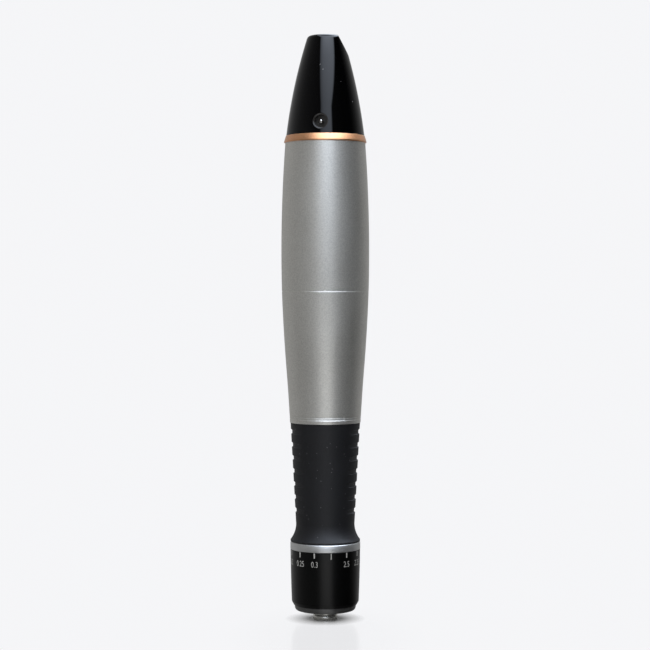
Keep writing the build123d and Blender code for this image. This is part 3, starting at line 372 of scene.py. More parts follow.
def ramped(tree, factor, stops):
    """Ramp through (position, tone) stops, whose tones are greys or colours."""
    node = tree.nodes.new("ShaderNodeValToRGB")
    elements = node.color_ramp.elements
    while len(elements) < len(stops):
        elements.new(0.5)
    for element, (position, tone) in zip(elements, stops):
        element.position = position
        element.color = (*tone, 1) if isinstance(tone, tuple) else (tone, tone, tone, 1)
    return fill(tree, node, {"Fac": factor})["Color"]


def tinted(tree, mask, under, over, amount=1.0):
    """Colour that goes from under to over where the mask is 1. Each is a colour or a socket."""
    values = {MIX_FACTOR: solved(tree, "MULTIPLY", mask, amount)}
    for index, value in ((MIX_UNDER, under), (MIX_OVER, over)):
        values[index] = value if isinstance(value, bpy.types.NodeSocket) else (*value[:3], 1.0)
    return add(tree, "Mix", values, data_type="RGBA")[MIX_RESULT]


# Shared effects

def effect(name, sizes, results, kind="NodeSocketFloat"):
    """Shader node group that takes a vector and sizes, with its input sockets and its output sockets."""
    tree = bpy.data.node_groups.new(name, "ShaderNodeTree")
    tree.interface.new_socket("Vector", in_out="INPUT", socket_type="NodeSocketVector")
    for label, default in sizes.items():
        socket = tree.interface.new_socket(label, in_out="INPUT", socket_type="NodeSocketFloat")
        socket.default_value = default
    for label in results:
        tree.interface.new_socket(label, in_out="OUTPUT", socket_type=kind)
    return tree, tree.nodes.new("NodeGroupInput").outputs, tree.nodes.new("NodeGroupOutput").inputs


def scaled(tree, vector, size):
    """The vector divided by a feature size, both in metres."""
    return stretched(tree, vector, solved(tree, "DIVIDE", 1.0, size))


def grain_effect():
    """Fine all-over grain: a height for bumps and a mask for tone."""
    tree, given, out = effect("Fine grain", {"Size": 0.0003}, ("Height", "Mask"))
    place = scaled(tree, given["Vector"], given["Size"])
    noise = {"Vector": place, "Scale": 1.0, "Detail": 2.0, "Roughness": 0.6}
    coarse = add(tree, "TexNoise", noise)[0]
    fine = add(tree, "TexVoronoi", {"Vector": place, "Scale": 1.7})
    pits = solved(tree, "MULTIPLY", fine["Distance"], 0.4)
    tree.links.new(solved(tree, "ADD", coarse, pits), out["Height"])
    tree.links.new(spread(tree, coarse, 0.35, 0.65), out["Mask"])
    return tree


def speck_effect():
    """Sparse specks of dust: a mask that is 1 inside each speck."""
    sizes = {"Spacing": 0.002, "Width": 0.09, "Share": 0.5}
    tree, given, out = effect("Dust specks", sizes, ("Mask",))
    place = scaled(tree, given["Vector"], given["Spacing"])
    cells = add(tree, "TexVoronoi", {"Vector": place, "Scale": 1.0})
    near = solved(tree, "LESS_THAN", cells["Distance"], given["Width"])
    pick = add(tree, "SeparateColor", {"Color": cells["Color"]})
    chosen = solved(tree, "LESS_THAN", pick["Red"], given["Share"])
    tree.links.new(solved(tree, "MULTIPLY", near, chosen), out["Mask"])
    return tree


def smudge_effect():
    """Soft wide patches, as hands and cloths leave on a surface: a mask around one half."""
    tree, given, out = effect("Handling smudges", {"Size": 0.02}, ("Mask",))
    place = scaled(tree, given["Vector"], given["Size"])
    noise = {"Vector": place, "Scale": 1.0, "Detail": 4.0, "Distortion": 0.8}
    tree.links.new(add(tree, "TexNoise", noise)[0], out["Mask"])
    return tree


def lathe_effect():
    """Turning marks: fine rings about the pen's axis, as a height."""
    tree, given, out = effect("Turning marks", {"Pitch": 0.0002}, ("Height",))
    parts = add(tree, "SeparateXYZ", {0: given["Vector"]})
    squares = [solved(tree, "MULTIPLY", parts[axis], parts[axis]) for axis in ("X", "Y")]
    radius = solved(tree, "SQRT", solved(tree, "ADD", *squares))
    place = add(tree, "CombineXYZ", {"X": radius, "Z": parts["Z"]})[0]
    noise = {"Vector": scaled(tree, place, given["Pitch"]), "Scale": 1.0, "Detail": 3.0}
    tree.links.new(add(tree, "TexNoise", noise)[0], out["Height"])
    return tree


def wear_effect():
    """Bare edges: a mask that is 1 on sharp convex edges, broken up by noise."""
    tree, given, out = effect("Edge wear", {"Size": 0.0012}, ("Mask",))
    shape = add(tree, "NewGeometry")
    edge = spread(tree, shape["Pointiness"], 0.53, 0.60)
    place = scaled(tree, given["Vector"], given["Size"])
    noise = {"Vector": place, "Scale": 1.0, "Detail": 3.0}
    broken = spread(tree, add(tree, "TexNoise", noise)[0], 0.42, 0.62)
    tree.links.new(solved(tree, "MULTIPLY", edge, broken), out["Mask"])
    return tree


def bearing(tree, ahead, right):
    """Azimuth from the front as a share of a full turn, with the front at one half."""
    plane = add(tree, "CombineXYZ", {"X": ahead, "Y": right})[0]
    return add(tree, "TexGradient", {"Vector": plane}, gradient_type="RADIAL")["Fac"]


def by_azimuth(stops):
    """Ramp stops for a bearing from stops in degrees."""
    return [(0.5 + turn / 360, tone) for turn, tone in stops]


def by_elevation(stops):
    """Ramp stops for a height in a unit sphere, as a share of its span, from stops in degrees."""
    return [(0.5 + math.sin(math.radians(lift)) / 2, tone) for lift, tone in stops]


def softbox_tone(lift, strength):
    """Colour of the softbox at an elevation, as a share of its peak."""
    low, high = TINT_RISE
    blue = min(1.0, max(0.0, (lift - low) / (high - low)))
    return tuple(strength / SOFTBOX_PEAK * (1 + (channel - 1) * blue) for channel in SOFTBOX_TINT)


def room_effect():
    """What the room shows in reflections: a tall softbox in front, dark on its right, grey behind."""
    tree, given, out = effect("Room reflections", {}, ("Color",), "NodeSocketColor")
    parts = add(tree, "SeparateXYZ", {0: moved(tree, "NORMALIZE", given["Vector"])})
    ahead = solved(tree, "MULTIPLY", parts["Y"], -1.0)
    azimuth = bearing(tree, ahead, parts["X"])
    height = spread(tree, parts["Z"], -1.0, 1.0)
    overhead = solved(tree, "MAXIMUM", solved(tree, "SUBTRACT", parts["Z"], LEAN_START), 0.0)
    left, right = SOFTBOX_LEANS
    hand = solved(tree, "SIGN", parts["X"])
    lean = solved(tree, "MULTIPLY_ADD", hand, (right - left) / 2, (right + left) / 2)
    leant = bearing(tree, solved(tree, "MULTIPLY_ADD", overhead, lean, ahead), parts["X"])
    window = ramped(tree, leant, by_azimuth(SOFTBOX_WIDTH))
    tones = [(lift, softbox_tone(lift, tone)) for lift, tone in SOFTBOX_HEIGHT]
    box = moved(tree, "MULTIPLY", window, ramped(tree, height, by_elevation(tones)))
    walls = ramped(tree, azimuth, by_azimuth(ROOM_WALLS))
    total = moved(tree, "ADD", walls, stretched(tree, box, SOFTBOX_PEAK))
    glow = ramped(tree, azimuth, by_azimuth(SIDE_GLOW))
    band = ramped(tree, height, by_elevation(SIDE_GLOW_HEIGHT))
    tree.links.new(moved(tree, "MULTIPLY_ADD", glow, band, total), out["Color"])
    return tree


EFFECTS = {}


def build_effects():
    """Builds each shared effect once."""
    EFFECTS["grain"] = grain_effect()
    EFFECTS["specks"] = speck_effect()
    EFFECTS["smudges"] = smudge_effect()
    EFFECTS["lathe"] = lathe_effect()
    EFFECTS["wear"] = wear_effect()
    EFFECTS["room"] = room_effect()


def use(tree, name, vector, **values):
    """Places a shared effect in a material with its own values, and gives its outputs."""
    return add(tree, "Group", {"Vector": vector, **values}, node_tree=EFFECTS[name])


# Finishes

def surface(
    name, color, roughness, metallic=0.0, grain=0.3, depth=0.01, tone=0.1, streak=0.0, smudge=0.05,
    wear=None, dust=None, dust_color=None, constants=None,
):
    """Finish with grain, turning marks, smudges, edge wear and dust.

    Grain, its depth and the turning marks' depth are in millimetres. Dust is the share of cells that
    hold a speck, the spacing of the cells in millimetres, and a speck's width as a share of the spacing.
    """
    material = bpy.data.materials.new(name)
    material.use_nodes = True
    tree = material.node_tree
    shader = tree.nodes["Principled BSDF"]
    place = add(tree, "TexCoord")["Object"]
    fine = use(tree, "grain", place, Size=grain * MM)
    smudges = use(tree, "smudges", place, Size=SMUDGE_SIZE * MM)["Mask"]
    darker = tuple(channel * (1 - tone) for channel in color[:3])
    lighter = tuple(channel * (1 + tone) for channel in color[:3])
    shown = tinted(tree, fine["Mask"], darker, color)
    shown = tinted(tree, smudges, shown, lighter, SMUDGE_SHARE)
    if wear:
        shown = tinted(tree, use(tree, "wear", place)["Mask"], shown, wear, WEAR_SHARE)
    if dust:
        share, spacing, width = dust
        specks = use(tree, "specks", place, Share=share, Spacing=spacing * MM, Width=width)
        shown = tinted(tree, specks["Mask"], shown, dust_color, DUST_SHARE)
    rough = spread(tree, smudges, 0.3, 0.7, roughness - smudge / 2, roughness + smudge / 2)
    normal = add(tree, "Bump", {"Distance": depth * MM, "Height": fine["Height"]})[0]
    if streak:
        rings = use(tree, "lathe", place)["Height"]
        normal = add(tree, "Bump", {"Distance": streak * MM, "Height": rings, "Normal": normal})[0]
    fill(tree, shader, {"Base Color": shown, "Roughness": rough, "Normal": normal, "Metallic": metallic})
    fill(tree, shader, constants or {})
    return material


# Settings

class PenShellSettings(bpy.types.PropertyGroup):
    """Shells, cap and trim."""

    shell_color: FloatVectorProperty(
        name="Shell colour", description="Colour of the satin metal of both shells",
        subtype="COLOR", default=(0.645, 0.637, 0.60), min=0.0, max=1.0,
    )
    shell_roughness: FloatProperty(
        name="Shell roughness", description="How satin the shells are",
        default=0.42, min=0.05, max=1.0,
    )
    cap_color: FloatVectorProperty(
        name="Cap colour", description="Colour of the gloss tail cap",
        subtype="COLOR", default=(0.0006, 0.0006, 0.0008), min=0.0, max=1.0,
    )
    trim_color: FloatVectorProperty(
        name="Trim colour", description="Colour of the trim ring's metal",
        subtype="COLOR", default=(0.95, 0.47, 0.22), min=0.0, max=1.0,
    )
    seam_reveal: FloatProperty(
        name="Seam reveal", description="Height of the chamfer on the front shell at the seam",
        unit="LENGTH", default=0.00024, min=0.00002, max=0.0005,
    )


class PenGripSettings(bpy.types.PropertyGroup):
    """Rubber grip."""

    rubber_color: FloatVectorProperty(
        name="Rubber colour", description="Colour of the rubber sleeve",
        subtype="COLOR", default=(0.0062, 0.0064, 0.0075), min=0.0, max=1.0,
    )
    groove_depth: FloatProperty(
        name="Groove depth", description="Depth of the side grooves at their middle",
        unit="LENGTH", default=0.00032, min=0.0, max=0.001,
    )
    groove_count: IntProperty(
        name="Grooves", description="Number of grooves on each side",
        default=7, min=0, max=20,
    )


class PenDialSettings(bpy.types.PropertyGroup):
    """Depth dial and its scale."""

    dial_color: FloatVectorProperty(
        name="Dial colour", description="Colour of the satin dial",
        subtype="COLOR", default=(0.0008, 0.0008, 0.0008), min=0.0, max=1.0,
    )
    print_color: FloatVectorProperty(
        name="Scale colour", description="Colour of the marks and numbers",
        subtype="COLOR", default=(0.36, 0.36, 0.35), min=0.0, max=1.0,
    )
    mark_length: FloatProperty(
        name="Mark length", description="Length of each mark from the dial's upper edge",
        unit="LENGTH", default=0.0015, min=0.0002, max=0.004,
    )
    mark_width: FloatProperty(
        name="Mark width", description="Width of each mark",
        unit="LENGTH", default=0.00034, min=0.0001, max=0.001,
    )
    digit_height: FloatProperty(
        name="Digit height", description="Height of the scale's numbers",
        unit="LENGTH", default=0.0016, min=0.0005, max=0.003,
    )


class PenStageSettings(bpy.types.PropertyGroup):
    """Camera, floor and light."""

    camera_distance: FloatProperty(
        name="Camera distance", description="Distance of the camera from the pen's axis",
        unit="LENGTH", default=0.514, min=0.2, max=3.0,
    )
    camera_height: FloatProperty(
        name="Camera height", description="Height of the camera above the floor",
        unit="LENGTH", default=0.093, min=0.0, max=1.0,
    )
    camera_aim: FloatProperty(
        name="Camera aim", description="Height on the pen's axis at the middle of the picture",
        unit="LENGTH", default=0.08337, min=0.0, max=1.0,
    )
    camera_lens: FloatProperty(
        name="Lens", description="Focal length in millimetres on a 36 mm sensor",
        default=100.5, min=20.0, max=300.0,
    )
    camera_shift: FloatProperty(
        name="Camera shift", description="Sideways shift of the lens, as a share of the picture's width",
        default=-0.00046, min=-0.1, max=0.1,
    )
    backdrop_color: FloatVectorProperty(
        name="Backdrop colour", description="Colour of the floor and of all that lies behind",
        subtype="COLOR", default=(0.915, 0.918, 0.935), min=0.0, max=1.0,
    )
    softbox_power: FloatProperty(
        name="Softbox power", description="Power of the main softbox",
        unit="POWER", default=12.0, min=0.0, max=200.0,
    )


# Pieces

class PEN_OT_tail_cap(bpy.types.Operator):
    """Gloss cap with a flat near its top and a round hole for the inlet"""

    bl_idname = "pen.tail_cap"
    bl_label = "Tail cap"

    top_radius = 4.95
    top_ease = 0.95
    bulge = 0.68
    # Points at the arc's top that the eased edge takes the place of
    eased_points = 4
    spigot_foot = 131.9
    cavity_radius = 8.2
    cavity_shoulder = 144.3
    cavity_top = (2.4, 162.0)
    flat_reach = 3.5
    flat_lean = 28.5
    edge_ease = 0.75
    hole_start = 4
    hole_end = 14

    def execute(self, context):
        settings = context.scene.pen_shells
        outline = [(0, TAIL), (self.top_radius, TAIL, self.top_ease)]
        side = bow((self.top_radius, TAIL), (CAP_RADIUS, CAP_FOOT), self.bulge, 120)
        outline += side[self.eased_points:]
        outline += [(REAR_BORE - FIT, CAP_FOOT), (REAR_BORE - FIT, self.spigot_foot)]
        shoulder = (self.cavity_radius, self.cavity_shoulder)
        outline += [(self.cavity_radius, self.spigot_foot), shoulder]
        outline += bow(shoulder, self.cavity_top, -self.bulge, 24)[1:]
        outline += [(0, self.cavity_top[1])]
        mesh = turned(rounded(outline), FINE_SIDES)
        lean = math.radians(self.flat_lean)
        cut = bmesh.ops.bisect_plane(
            mesh,
            geom=mesh.verts[:] + mesh.edges[:] + mesh.faces[:],
            plane_co=(self.flat_reach * MM, 0, TAIL * MM),
            plane_no=(math.cos(lean), 0, math.sin(lean)),
            clear_outer=True,
        )
        rim = [edge for edge in cut["geom_cut"] if isinstance(edge, bmesh.types.BMEdge)]
        bmesh.ops.contextual_create(mesh, geom=rim)
        bmesh.ops.recalc_face_normals(mesh, faces=mesh.faces)
        top = [edge for edge in rim if all(vertex.co.z > (TAIL - 0.01) * MM for vertex in edge.verts)]
        ease = self.edge_ease * MM
        bmesh.ops.bevel(
            mesh, geom=top, offset=ease, segments=4, profile=0.5, affect="EDGES", clamp_overlap=True
        )
        gloss = surface(
            "gloss_black", settings.cap_color, 0.045, grain=0.8, depth=0.0008, tone=0.2,
            smudge=0.03, dust=(0.9, 4.0, 0.032), dust_color=(0.30, 0.30, 0.32), constants={"IOR": 1.41},
        )
        cap = placed("tail_cap_gloss", mesh, gloss, "barrel", ["tail_cap"])
        drilled(cap, INLET_RADIUS, INLET_TURN, INLET_LEVEL, self.hole_start, self.hole_end)
        return {"FINISHED"}


class PEN_OT_inlet(bpy.types.Operator):
    """Charging socket with a flared mouth, and its centre pin"""

    bl_idname = "pen.inlet"
    bl_label = "Inlet"

    # Distances from the pen's axis
    face = 9.70
    block_back = -1.27
    block_front = 7.23
    block_half = 3.0
    overlap = 0.2
    nose_radius = 2.22
    nose_edge = (0.04, 0.06)
    mouth_radius = 2.17
    mouth_depth = 0.26
    mouth_flare = 0.06
    bore_radius = 1.74
    pin_radius = 0.65
    pin_root = 0.5
    pin_recess = 0.5
    pin_dome = 0.42
    dome_steps = 8

    def execute(self, context):
        half, back, front = self.block_half, self.block_back, self.block_front
        socket = boxed((-half, -half, back), (half, half, front))
        narrow, low = self.nose_edge
        joined(socket, turned([
            (self.nose_radius, front - self.overlap),
            (self.nose_radius, self.face - low),
            (self.nose_radius - narrow, self.face),
            (self.mouth_radius, self.face),
            (self.bore_radius + self.mouth_flare, self.face - self.mouth_depth / 2),
            (self.bore_radius, self.face - self.mouth_depth),
            (self.bore_radius, front - self.overlap),
        ], HOLE_SIDES))
        gloss = surface(
            "socket_gloss", (0.030, 0.029, 0.028), 0.16, grain=0.3, depth=0.002, tone=0.15,
            smudge=0.08, dust=(0.2, 1.0, 0.05), dust_color=(0.2, 0.2, 0.2),
        )
        aimed(socket, INLET_TURN, INLET_LEVEL)
        placed("inlet_socket", socket, gloss, "barrel", ["dc_jack_body"])
        root, tip = front - self.pin_root, self.face - self.pin_recess
        outline = [(0, root), (self.pin_radius, root), (self.pin_radius, tip - self.pin_dome)]
        for step in range(1, self.dome_steps):
            angle = math.pi / 2 * step / self.dome_steps
            level = tip - self.pin_dome * (1 - math.sin(angle))
            outline.append((self.pin_radius * math.cos(angle), level))
        pin = aimed(turned(outline + [(0, tip)], 64), INLET_TURN, INLET_LEVEL)
        nickel = surface(
            "pin_nickel", (0.60, 0.58, 0.54), 0.16, metallic=1.0, grain=0.2, depth=0.002,
            tone=0.15, streak=0.002, smudge=0.06,
        )
        placed("inlet_pin", pin, nickel, "barrel", ["dc_jack_pin"])
        return {"FINISHED"}


class PEN_OT_trim_ring(bpy.types.Operator):
    """Coppery ring between the rear shell and the cap"""

    bl_idname = "pen.trim_ring"
    bl_label = "Trim ring"

    foot_radius = 11.66
    top_radius = 11.15
    band_height = 0.35

    def execute(self, context):
        outline = rounded([
            (REAR_BORE, TRIM_FOOT),
            (self.foot_radius, TRIM_FOOT, 0.22),
            (self.foot_radius, TRIM_FOOT + self.band_height, 0.15),
            (self.top_radius, CAP_FOOT, 0.05),
            (REAR_BORE, CAP_FOOT),
        ])
        copper = surface(
            "copper_trim", context.scene.pen_shells.trim_color, 0.46, metallic=1.0, grain=0.4,
            depth=0.008, tone=0.16, streak=0.004, smudge=0.08,
            constants={"Coat Weight": 0.8, "Coat Roughness": 0.30, "Coat IOR": 1.7},
        )
        placed("trim_ring_copper", turned(outline), copper, "barrel", ["trim_ring"])
        return {"FINISHED"}


class PEN_OT_shells(bpy.types.Operator):
    """Two satin metal shells that meet at a fine seam"""

    bl_idname = "pen.shells"
    bl_label = "Shells"

    rear_bulge = 0.52
    front_bulge = 0.118
    hip_radius = 11.01
    front_end = 10.0
    front_bore = 8.6
    front_bore_top = 91.0
    spigot = 10.85
    seam_slope = 0.42
    rear_ease = 0.03
    button_hole = 2.6
    lens_hole = 0.83
    hole_start = 4
    hole_end = 16
    groove_levels = (57.60, 57.02)
    groove_width = 0.30
    groove_depth = 0.12
    groove_lip = 0.04
    groove_margin = 0.05

    def front_side(self, reveal):
        """Outer side of the front shell from the seam down to the grip, with its two hair grooves."""
        hip = (self.hip_radius, HIP)
        upper = bow((SEAM_RADIUS, SEAM - reveal), hip, self.front_bulge, 90)
        heading = Vector(upper[-1]) - Vector(upper[-2])
        lower = tangent_bow(hip, heading, (self.front_end, GRIP_TOP), 90)[1:-1]
        clear = self.groove_width + self.groove_margin
        side = upper + [
            point for point in lower if all(abs(point[1] - level) >= clear for level in self.groove_levels)
        ]
        for level in self.groove_levels:
            radius = min(lower, key=lambda point: abs(point[1] - level))[0]
            side += [
                (radius, level + self.groove_lip),
                (radius - self.groove_depth, level),
                (radius, level - self.groove_width),
            ]
        return sorted(side, key=lambda point: -point[1])

    def execute(self, context):
        settings = context.scene.pen_shells
        reveal = settings.seam_reveal / MM
        satin = surface(
            "satin_shell", settings.shell_color, settings.shell_roughness, metallic=0.87, grain=0.36,
            depth=0.009, tone=0.22, smudge=0.04, wear=(0.92, 0.91, 0.87),
        )
        socket = self.spigot + FIT
        rear = [
            (SEAM_RADIUS - self.rear_ease, SEAM),
            (socket, SEAM),
            (socket, SPIGOT_TOP + FIT),
            (REAR_BORE, SPIGOT_TOP + FIT),
            (REAR_BORE, TRIM_FOOT),
        ]
        seam = (SEAM_RADIUS, SEAM + self.rear_ease)
        rear += bow((REAR_TOP_RADIUS, TRIM_FOOT), seam, self.rear_bulge, 160)
        shell = placed("rear_shell_satin", turned(rear), satin, "barrel", ["rear_shell"])
        for radius, level in ((self.button_hole, BUTTON_LEVEL), (self.lens_hole, LENS_LEVEL)):
            drilled(shell, radius, BACK, level, self.hole_start, self.hole_end)
        front = [
            (self.front_end, GRIP_TOP),
            (self.front_bore, GRIP_TOP),
            (self.front_bore, self.front_bore_top),
            (REAR_BORE, self.front_bore_top),
            (REAR_BORE, SPIGOT_TOP),
            (self.spigot, SPIGOT_TOP),
            (self.spigot, SEAM),
            (SEAM_RADIUS - reveal * self.seam_slope, SEAM),
        ]
        front += self.front_side(reveal)
        placed("front_shell_satin", turned(front), satin, "barrel", ["front_shell"])
        return {"FINISHED"}


class PEN_OT_grip(bpy.types.Operator):
    """Tapered rubber sleeve with a flared foot and fading side grooves"""

    bl_idname = "pen.grip"
    bl_label = "Grip"

    waist_level = 27.1
    lip_height = 0.5
    lip_ease = 0.12
    lip_heading = (-0.62, 0.785)
    neck_height = 1.6
    core_top = 8.71
    core_waist = 7.22
    groove_inset = 2.6
    groove_pitch = 3.71
    groove_floor = 1.0
    upper_run = 0.36
    lower_run = 0.18
    reach_degrees = 47.0
    row_height = 0.09
    # How far inside the sleeve's side a point may lie and still be on it
    skin_depth = 0.05

    def skin(self, level):
        """Radius of the sleeve's tapered side at a level."""
        share = (level - self.waist_level) / (GRIP_TOP - self.waist_level)
        return WAIST + (GRIP_TOP_RADIUS - WAIST) * share

    def groove(self, level, settings):
        """Depth of the grooves at a level, at their middle, in millimetres."""
        for number in range(settings.groove_count):
            above = level - (GRIP_TOP - self.groove_inset - number * self.groove_pitch)
            run = self.upper_run if above > 0 else self.lower_run
            wall = (abs(above) - self.groove_floor / 2) / run
            if wall < 1:
                share = 1 - max(0.0, wall)
                return settings.groove_depth / MM * share * share * (3 - 2 * share)
        return 0.0

    def execute(self, context):
        settings = context.scene.pen_grip
        waist, drop = self.waist_level, self.waist_level - GRIP_TOP
        rows = int(-drop / self.row_height)
        levels = [GRIP_TOP + drop * row / rows for row in range(rows + 1)]
        lip = (GRIP_LIP, GRIP_FOOT + self.lip_height)
        flare = tangent_bow(lip, self.lip_heading, (WAIST, waist), 40)
        outline = [(NECK + FIT, GRIP_FOOT), (NECK + FIT, GRIP_FOOT + self.neck_height)]
        outline += [(self.core_waist, waist), (self.core_top, GRIP_TOP)]
        outline += [(self.skin(level), level) for level in levels]
        outline += flare[::-1][1:]
        outline += [(GRIP_LIP, GRIP_FOOT + self.lip_ease), (GRIP_LIP - self.lip_ease, GRIP_FOOT)]
        mesh = turned(outline, FINE_SIDES)
        deepest = max(settings.groove_depth / MM, MM)
        limit = math.cos(math.radians(self.reach_degrees))
        for vertex in mesh.verts:
            radius = math.hypot(vertex.co.x, vertex.co.y)
            level = vertex.co.z / MM
            if level < waist or radius / MM < self.skin(level) - self.skin_depth:
                continue
            fade = deepest * min(1.0, (1 - abs(vertex.co.x) / radius) / (1 - limit))
            depth = self.groove(level, settings) - fade
            if depth > 0:
                shrink = 1 - depth * MM / radius
                vertex.co.x *= shrink
                vertex.co.y *= shrink
        rubber = surface(
            "grip_rubber", settings.rubber_color, 0.54, grain=0.22, depth=0.012, tone=0.35,
            smudge=0.10, dust=(0.5, 1.3, 0.10), dust_color=(0.085, 0.085, 0.090),
            wear=(0.045, 0.045, 0.046), constants={"IOR": 1.39},
        )
        placed("grip_sleeve", mesh, rubber, "barrel", ["rubber_grip"])
        return {"FINISHED"}


class PEN_OT_index_ring(bpy.types.Operator):
    """Bright ring between grip and dial"""

    bl_idname = "pen.index_ring"
    bl_label = "Index ring"

    radius = 9.92
    # Steps of the eased upper edge, inwards and down
    edge = ((0.0, 0.36), (0.12, 0.10), (0.25, 0.0))

    def execute(self, context):
        outline = [(NECK + FIT, RING_FOOT), (self.radius, RING_FOOT, 0.06)]
        outline += [(self.radius - inwards, GRIP_FOOT - down) for inwards, down in self.edge]
        outline += [(NECK + FIT, GRIP_FOOT)]
        bright = surface(
            "ring_metal", (0.57, 0.575, 0.57), 0.40, metallic=0.88, grain=0.3, depth=0.003,
            tone=0.08, streak=0.004, smudge=0.06,
        )
        ring = turned(rounded(outline))
        placed("index_ring_bright", ring, bright, "barrel", ["index_ring"])
        return {"FINISHED"}


class PEN_OT_depth_dial(bpy.types.Operator):
    """Satin dial with its printed marks and numbers"""

    bl_idname = "pen.depth_dial"
    bl_label = "Depth dial"

    chamfer = (0.6, 1.05)
    swell = 0.05
    tier_gap = 0.1
    tier_roof = 7.8
    rim_height = 4.95
    skirt_steps = 40
    # Parts of the skirt at its top and foot that the eased edges take up
    skirt_ends = (0.2, 0.25)
    scale_step = 360 / 13
    first_azimuth = -45.8
    labels = ("0.25", "0.3", "", "2.5", "2.25", "2.0", "1.75", "1.5", "1.25", "1.0", "0.75", "0.5", "0.2")
    label_drop = 2.5
    mark_drop = 0.06
    # Width and length of the mark without a number, as shares of the others
    bare_mark = (0.8, 1.15)
    stroke_change = -0.008
    digit_narrowing = 0.74
    film = 0.012

    def skin(self, level):
        """Radius of the dial's skirt at a level."""
        foot = DIAL_FOOT + self.chamfer[1]
        share = (level - foot) / (DIAL_TOP - foot)
        chord = DIAL_FOOT_RADIUS + (DIAL_TOP_RADIUS - DIAL_FOOT_RADIUS) * share
        return chord + 4 * self.swell * share * (1 - share)

    def wrapped(self, mesh, azimuth):
        """Bends a flat print, drawn in millimetres with its thickness in Z, round the skirt."""
        for vertex in mesh.verts:
            radius = self.skin(vertex.co.y) + (self.film if vertex.co.z > 0 else -self.film)
            angle = math.radians(azimuth) + vertex.co.x / self.skin(vertex.co.y)
            vertex.co = Vector((radius * math.sin(angle), -radius * math.cos(angle), vertex.co.y)) * MM

    def mark(self, width, length):
        """Flat print of one mark."""
        mesh = bmesh.new()
        columns = [-width / 2, 0.0, width / 2]
        rows = [DIAL_TOP - self.mark_drop - length * step / 4 for step in range(5)]
        grid = [[mesh.verts.new((column, row, 1)) for column in columns] for row in rows]
        faces = []
        for low, high in zip(grid, grid[1:]):
            for index in range(2):
                corners = (low[index], high[index], high[index + 1], low[index + 1])
                faces.append(mesh.faces.new(corners))
        for item in bmesh.ops.extrude_face_region(mesh, geom=faces)["geom"]:
            if isinstance(item, bmesh.types.BMVert):
                item.co.z = -1
        bmesh.ops.recalc_face_normals(mesh, faces=mesh.faces)
        return mesh

    def number(self, text, height):
        """Flat print of one number, hung below its mark."""
        curve = bpy.data.curves.new("number", "FONT")
        curve.body = text
        curve.align_x = "CENTER"
        curve.extrude = 1.0
        curve.offset = self.stroke_change
        curve.resolution_u = 4
        letters = linked("number", curve)
        data = evaluated(letters)
        mesh = bmesh.new()
        mesh.from_mesh(data)
        bpy.data.objects.remove(letters)
        bpy.data.curves.remove(curve)
        bpy.data.meshes.remove(data)
        bmesh.ops.remove_doubles(mesh, verts=mesh.verts, dist=1e-5)
        across = [vertex.co.x for vertex in mesh.verts]
        upright = [vertex.co.y for vertex in mesh.verts]
        middle, top = (min(across) + max(across)) / 2, max(upright)
        scale = height / (top - min(upright))
        for vertex in mesh.verts:
            vertex.co.x = (vertex.co.x - middle) * scale * self.digit_narrowing
            vertex.co.y = DIAL_TOP - self.label_drop + (vertex.co.y - top) * scale
            vertex.co.z = 1 if vertex.co.z > 0 else -1
        bmesh.ops.triangulate(mesh, faces=mesh.faces)
        bmesh.ops.recalc_face_normals(mesh, faces=mesh.faces)
        return mesh

    def whole_scale(self, settings):
        """Print of the whole scale, wrapped round the skirt."""
        scale = bmesh.new()
        for number, text in enumerate(self.labels):
            wide, tall = (1.0, 1.0) if text else self.bare_mark
            prints = [self.mark(settings.mark_width / MM * wide, settings.mark_length / MM * tall)]
            if text:
                prints.append(self.number(text, settings.digit_height / MM))
            for item in prints:
                self.wrapped(item, self.first_azimuth + number * self.scale_step)
                joined(scale, item)
        return scale

    def execute(self, context):
        settings = context.scene.pen_dial
        inset, rise = self.chamfer
        foot = DIAL_FOOT + rise
        outline = [
            (TIER + self.tier_gap, DIAL_FOOT),
            (TIER + self.tier_gap, self.tier_roof),
            (DIAL_BORE, self.tier_roof),
            (DIAL_BORE, DIAL_TOP - self.rim_height),
            (DIAL_RIM_BORE, DIAL_TOP - self.rim_height),
            (DIAL_RIM_BORE, DIAL_TOP),
            (DIAL_TOP_RADIUS, DIAL_TOP, 0.06),
        ]
        top, low = DIAL_TOP - self.skirt_ends[0], foot + self.skirt_ends[1]
        for step in range(1, self.skirt_steps):
            level = top + (low - top) * step / self.skirt_steps
            outline.append((self.skin(level), level))
        outline += [(DIAL_FOOT_RADIUS, foot, 0.2), (DIAL_FOOT_RADIUS - inset, DIAL_FOOT, 0.08)]
        satin = surface(
            "dial_satin", settings.dial_color, 0.33, grain=0.2, depth=0.004, tone=0.2,
            smudge=0.06, dust=(0.2, 3.0, 0.03), dust_color=(0.05, 0.05, 0.05), wear=(0.05, 0.05, 0.05),
            constants={"IOR": 1.37},
        )
        skirt = turned(rounded(outline))
        placed("depth_dial_skirt", skirt, satin, "depth_dial", ["depth_dial"])
        ink = surface(
            "scale_print", settings.print_color, 0.5, grain=0.3, depth=0.002, tone=0.35,
            smudge=0.1,
        )
        placed("depth_scale", self.whole_scale(settings), ink, "depth_dial")
        return {"FINISHED"}


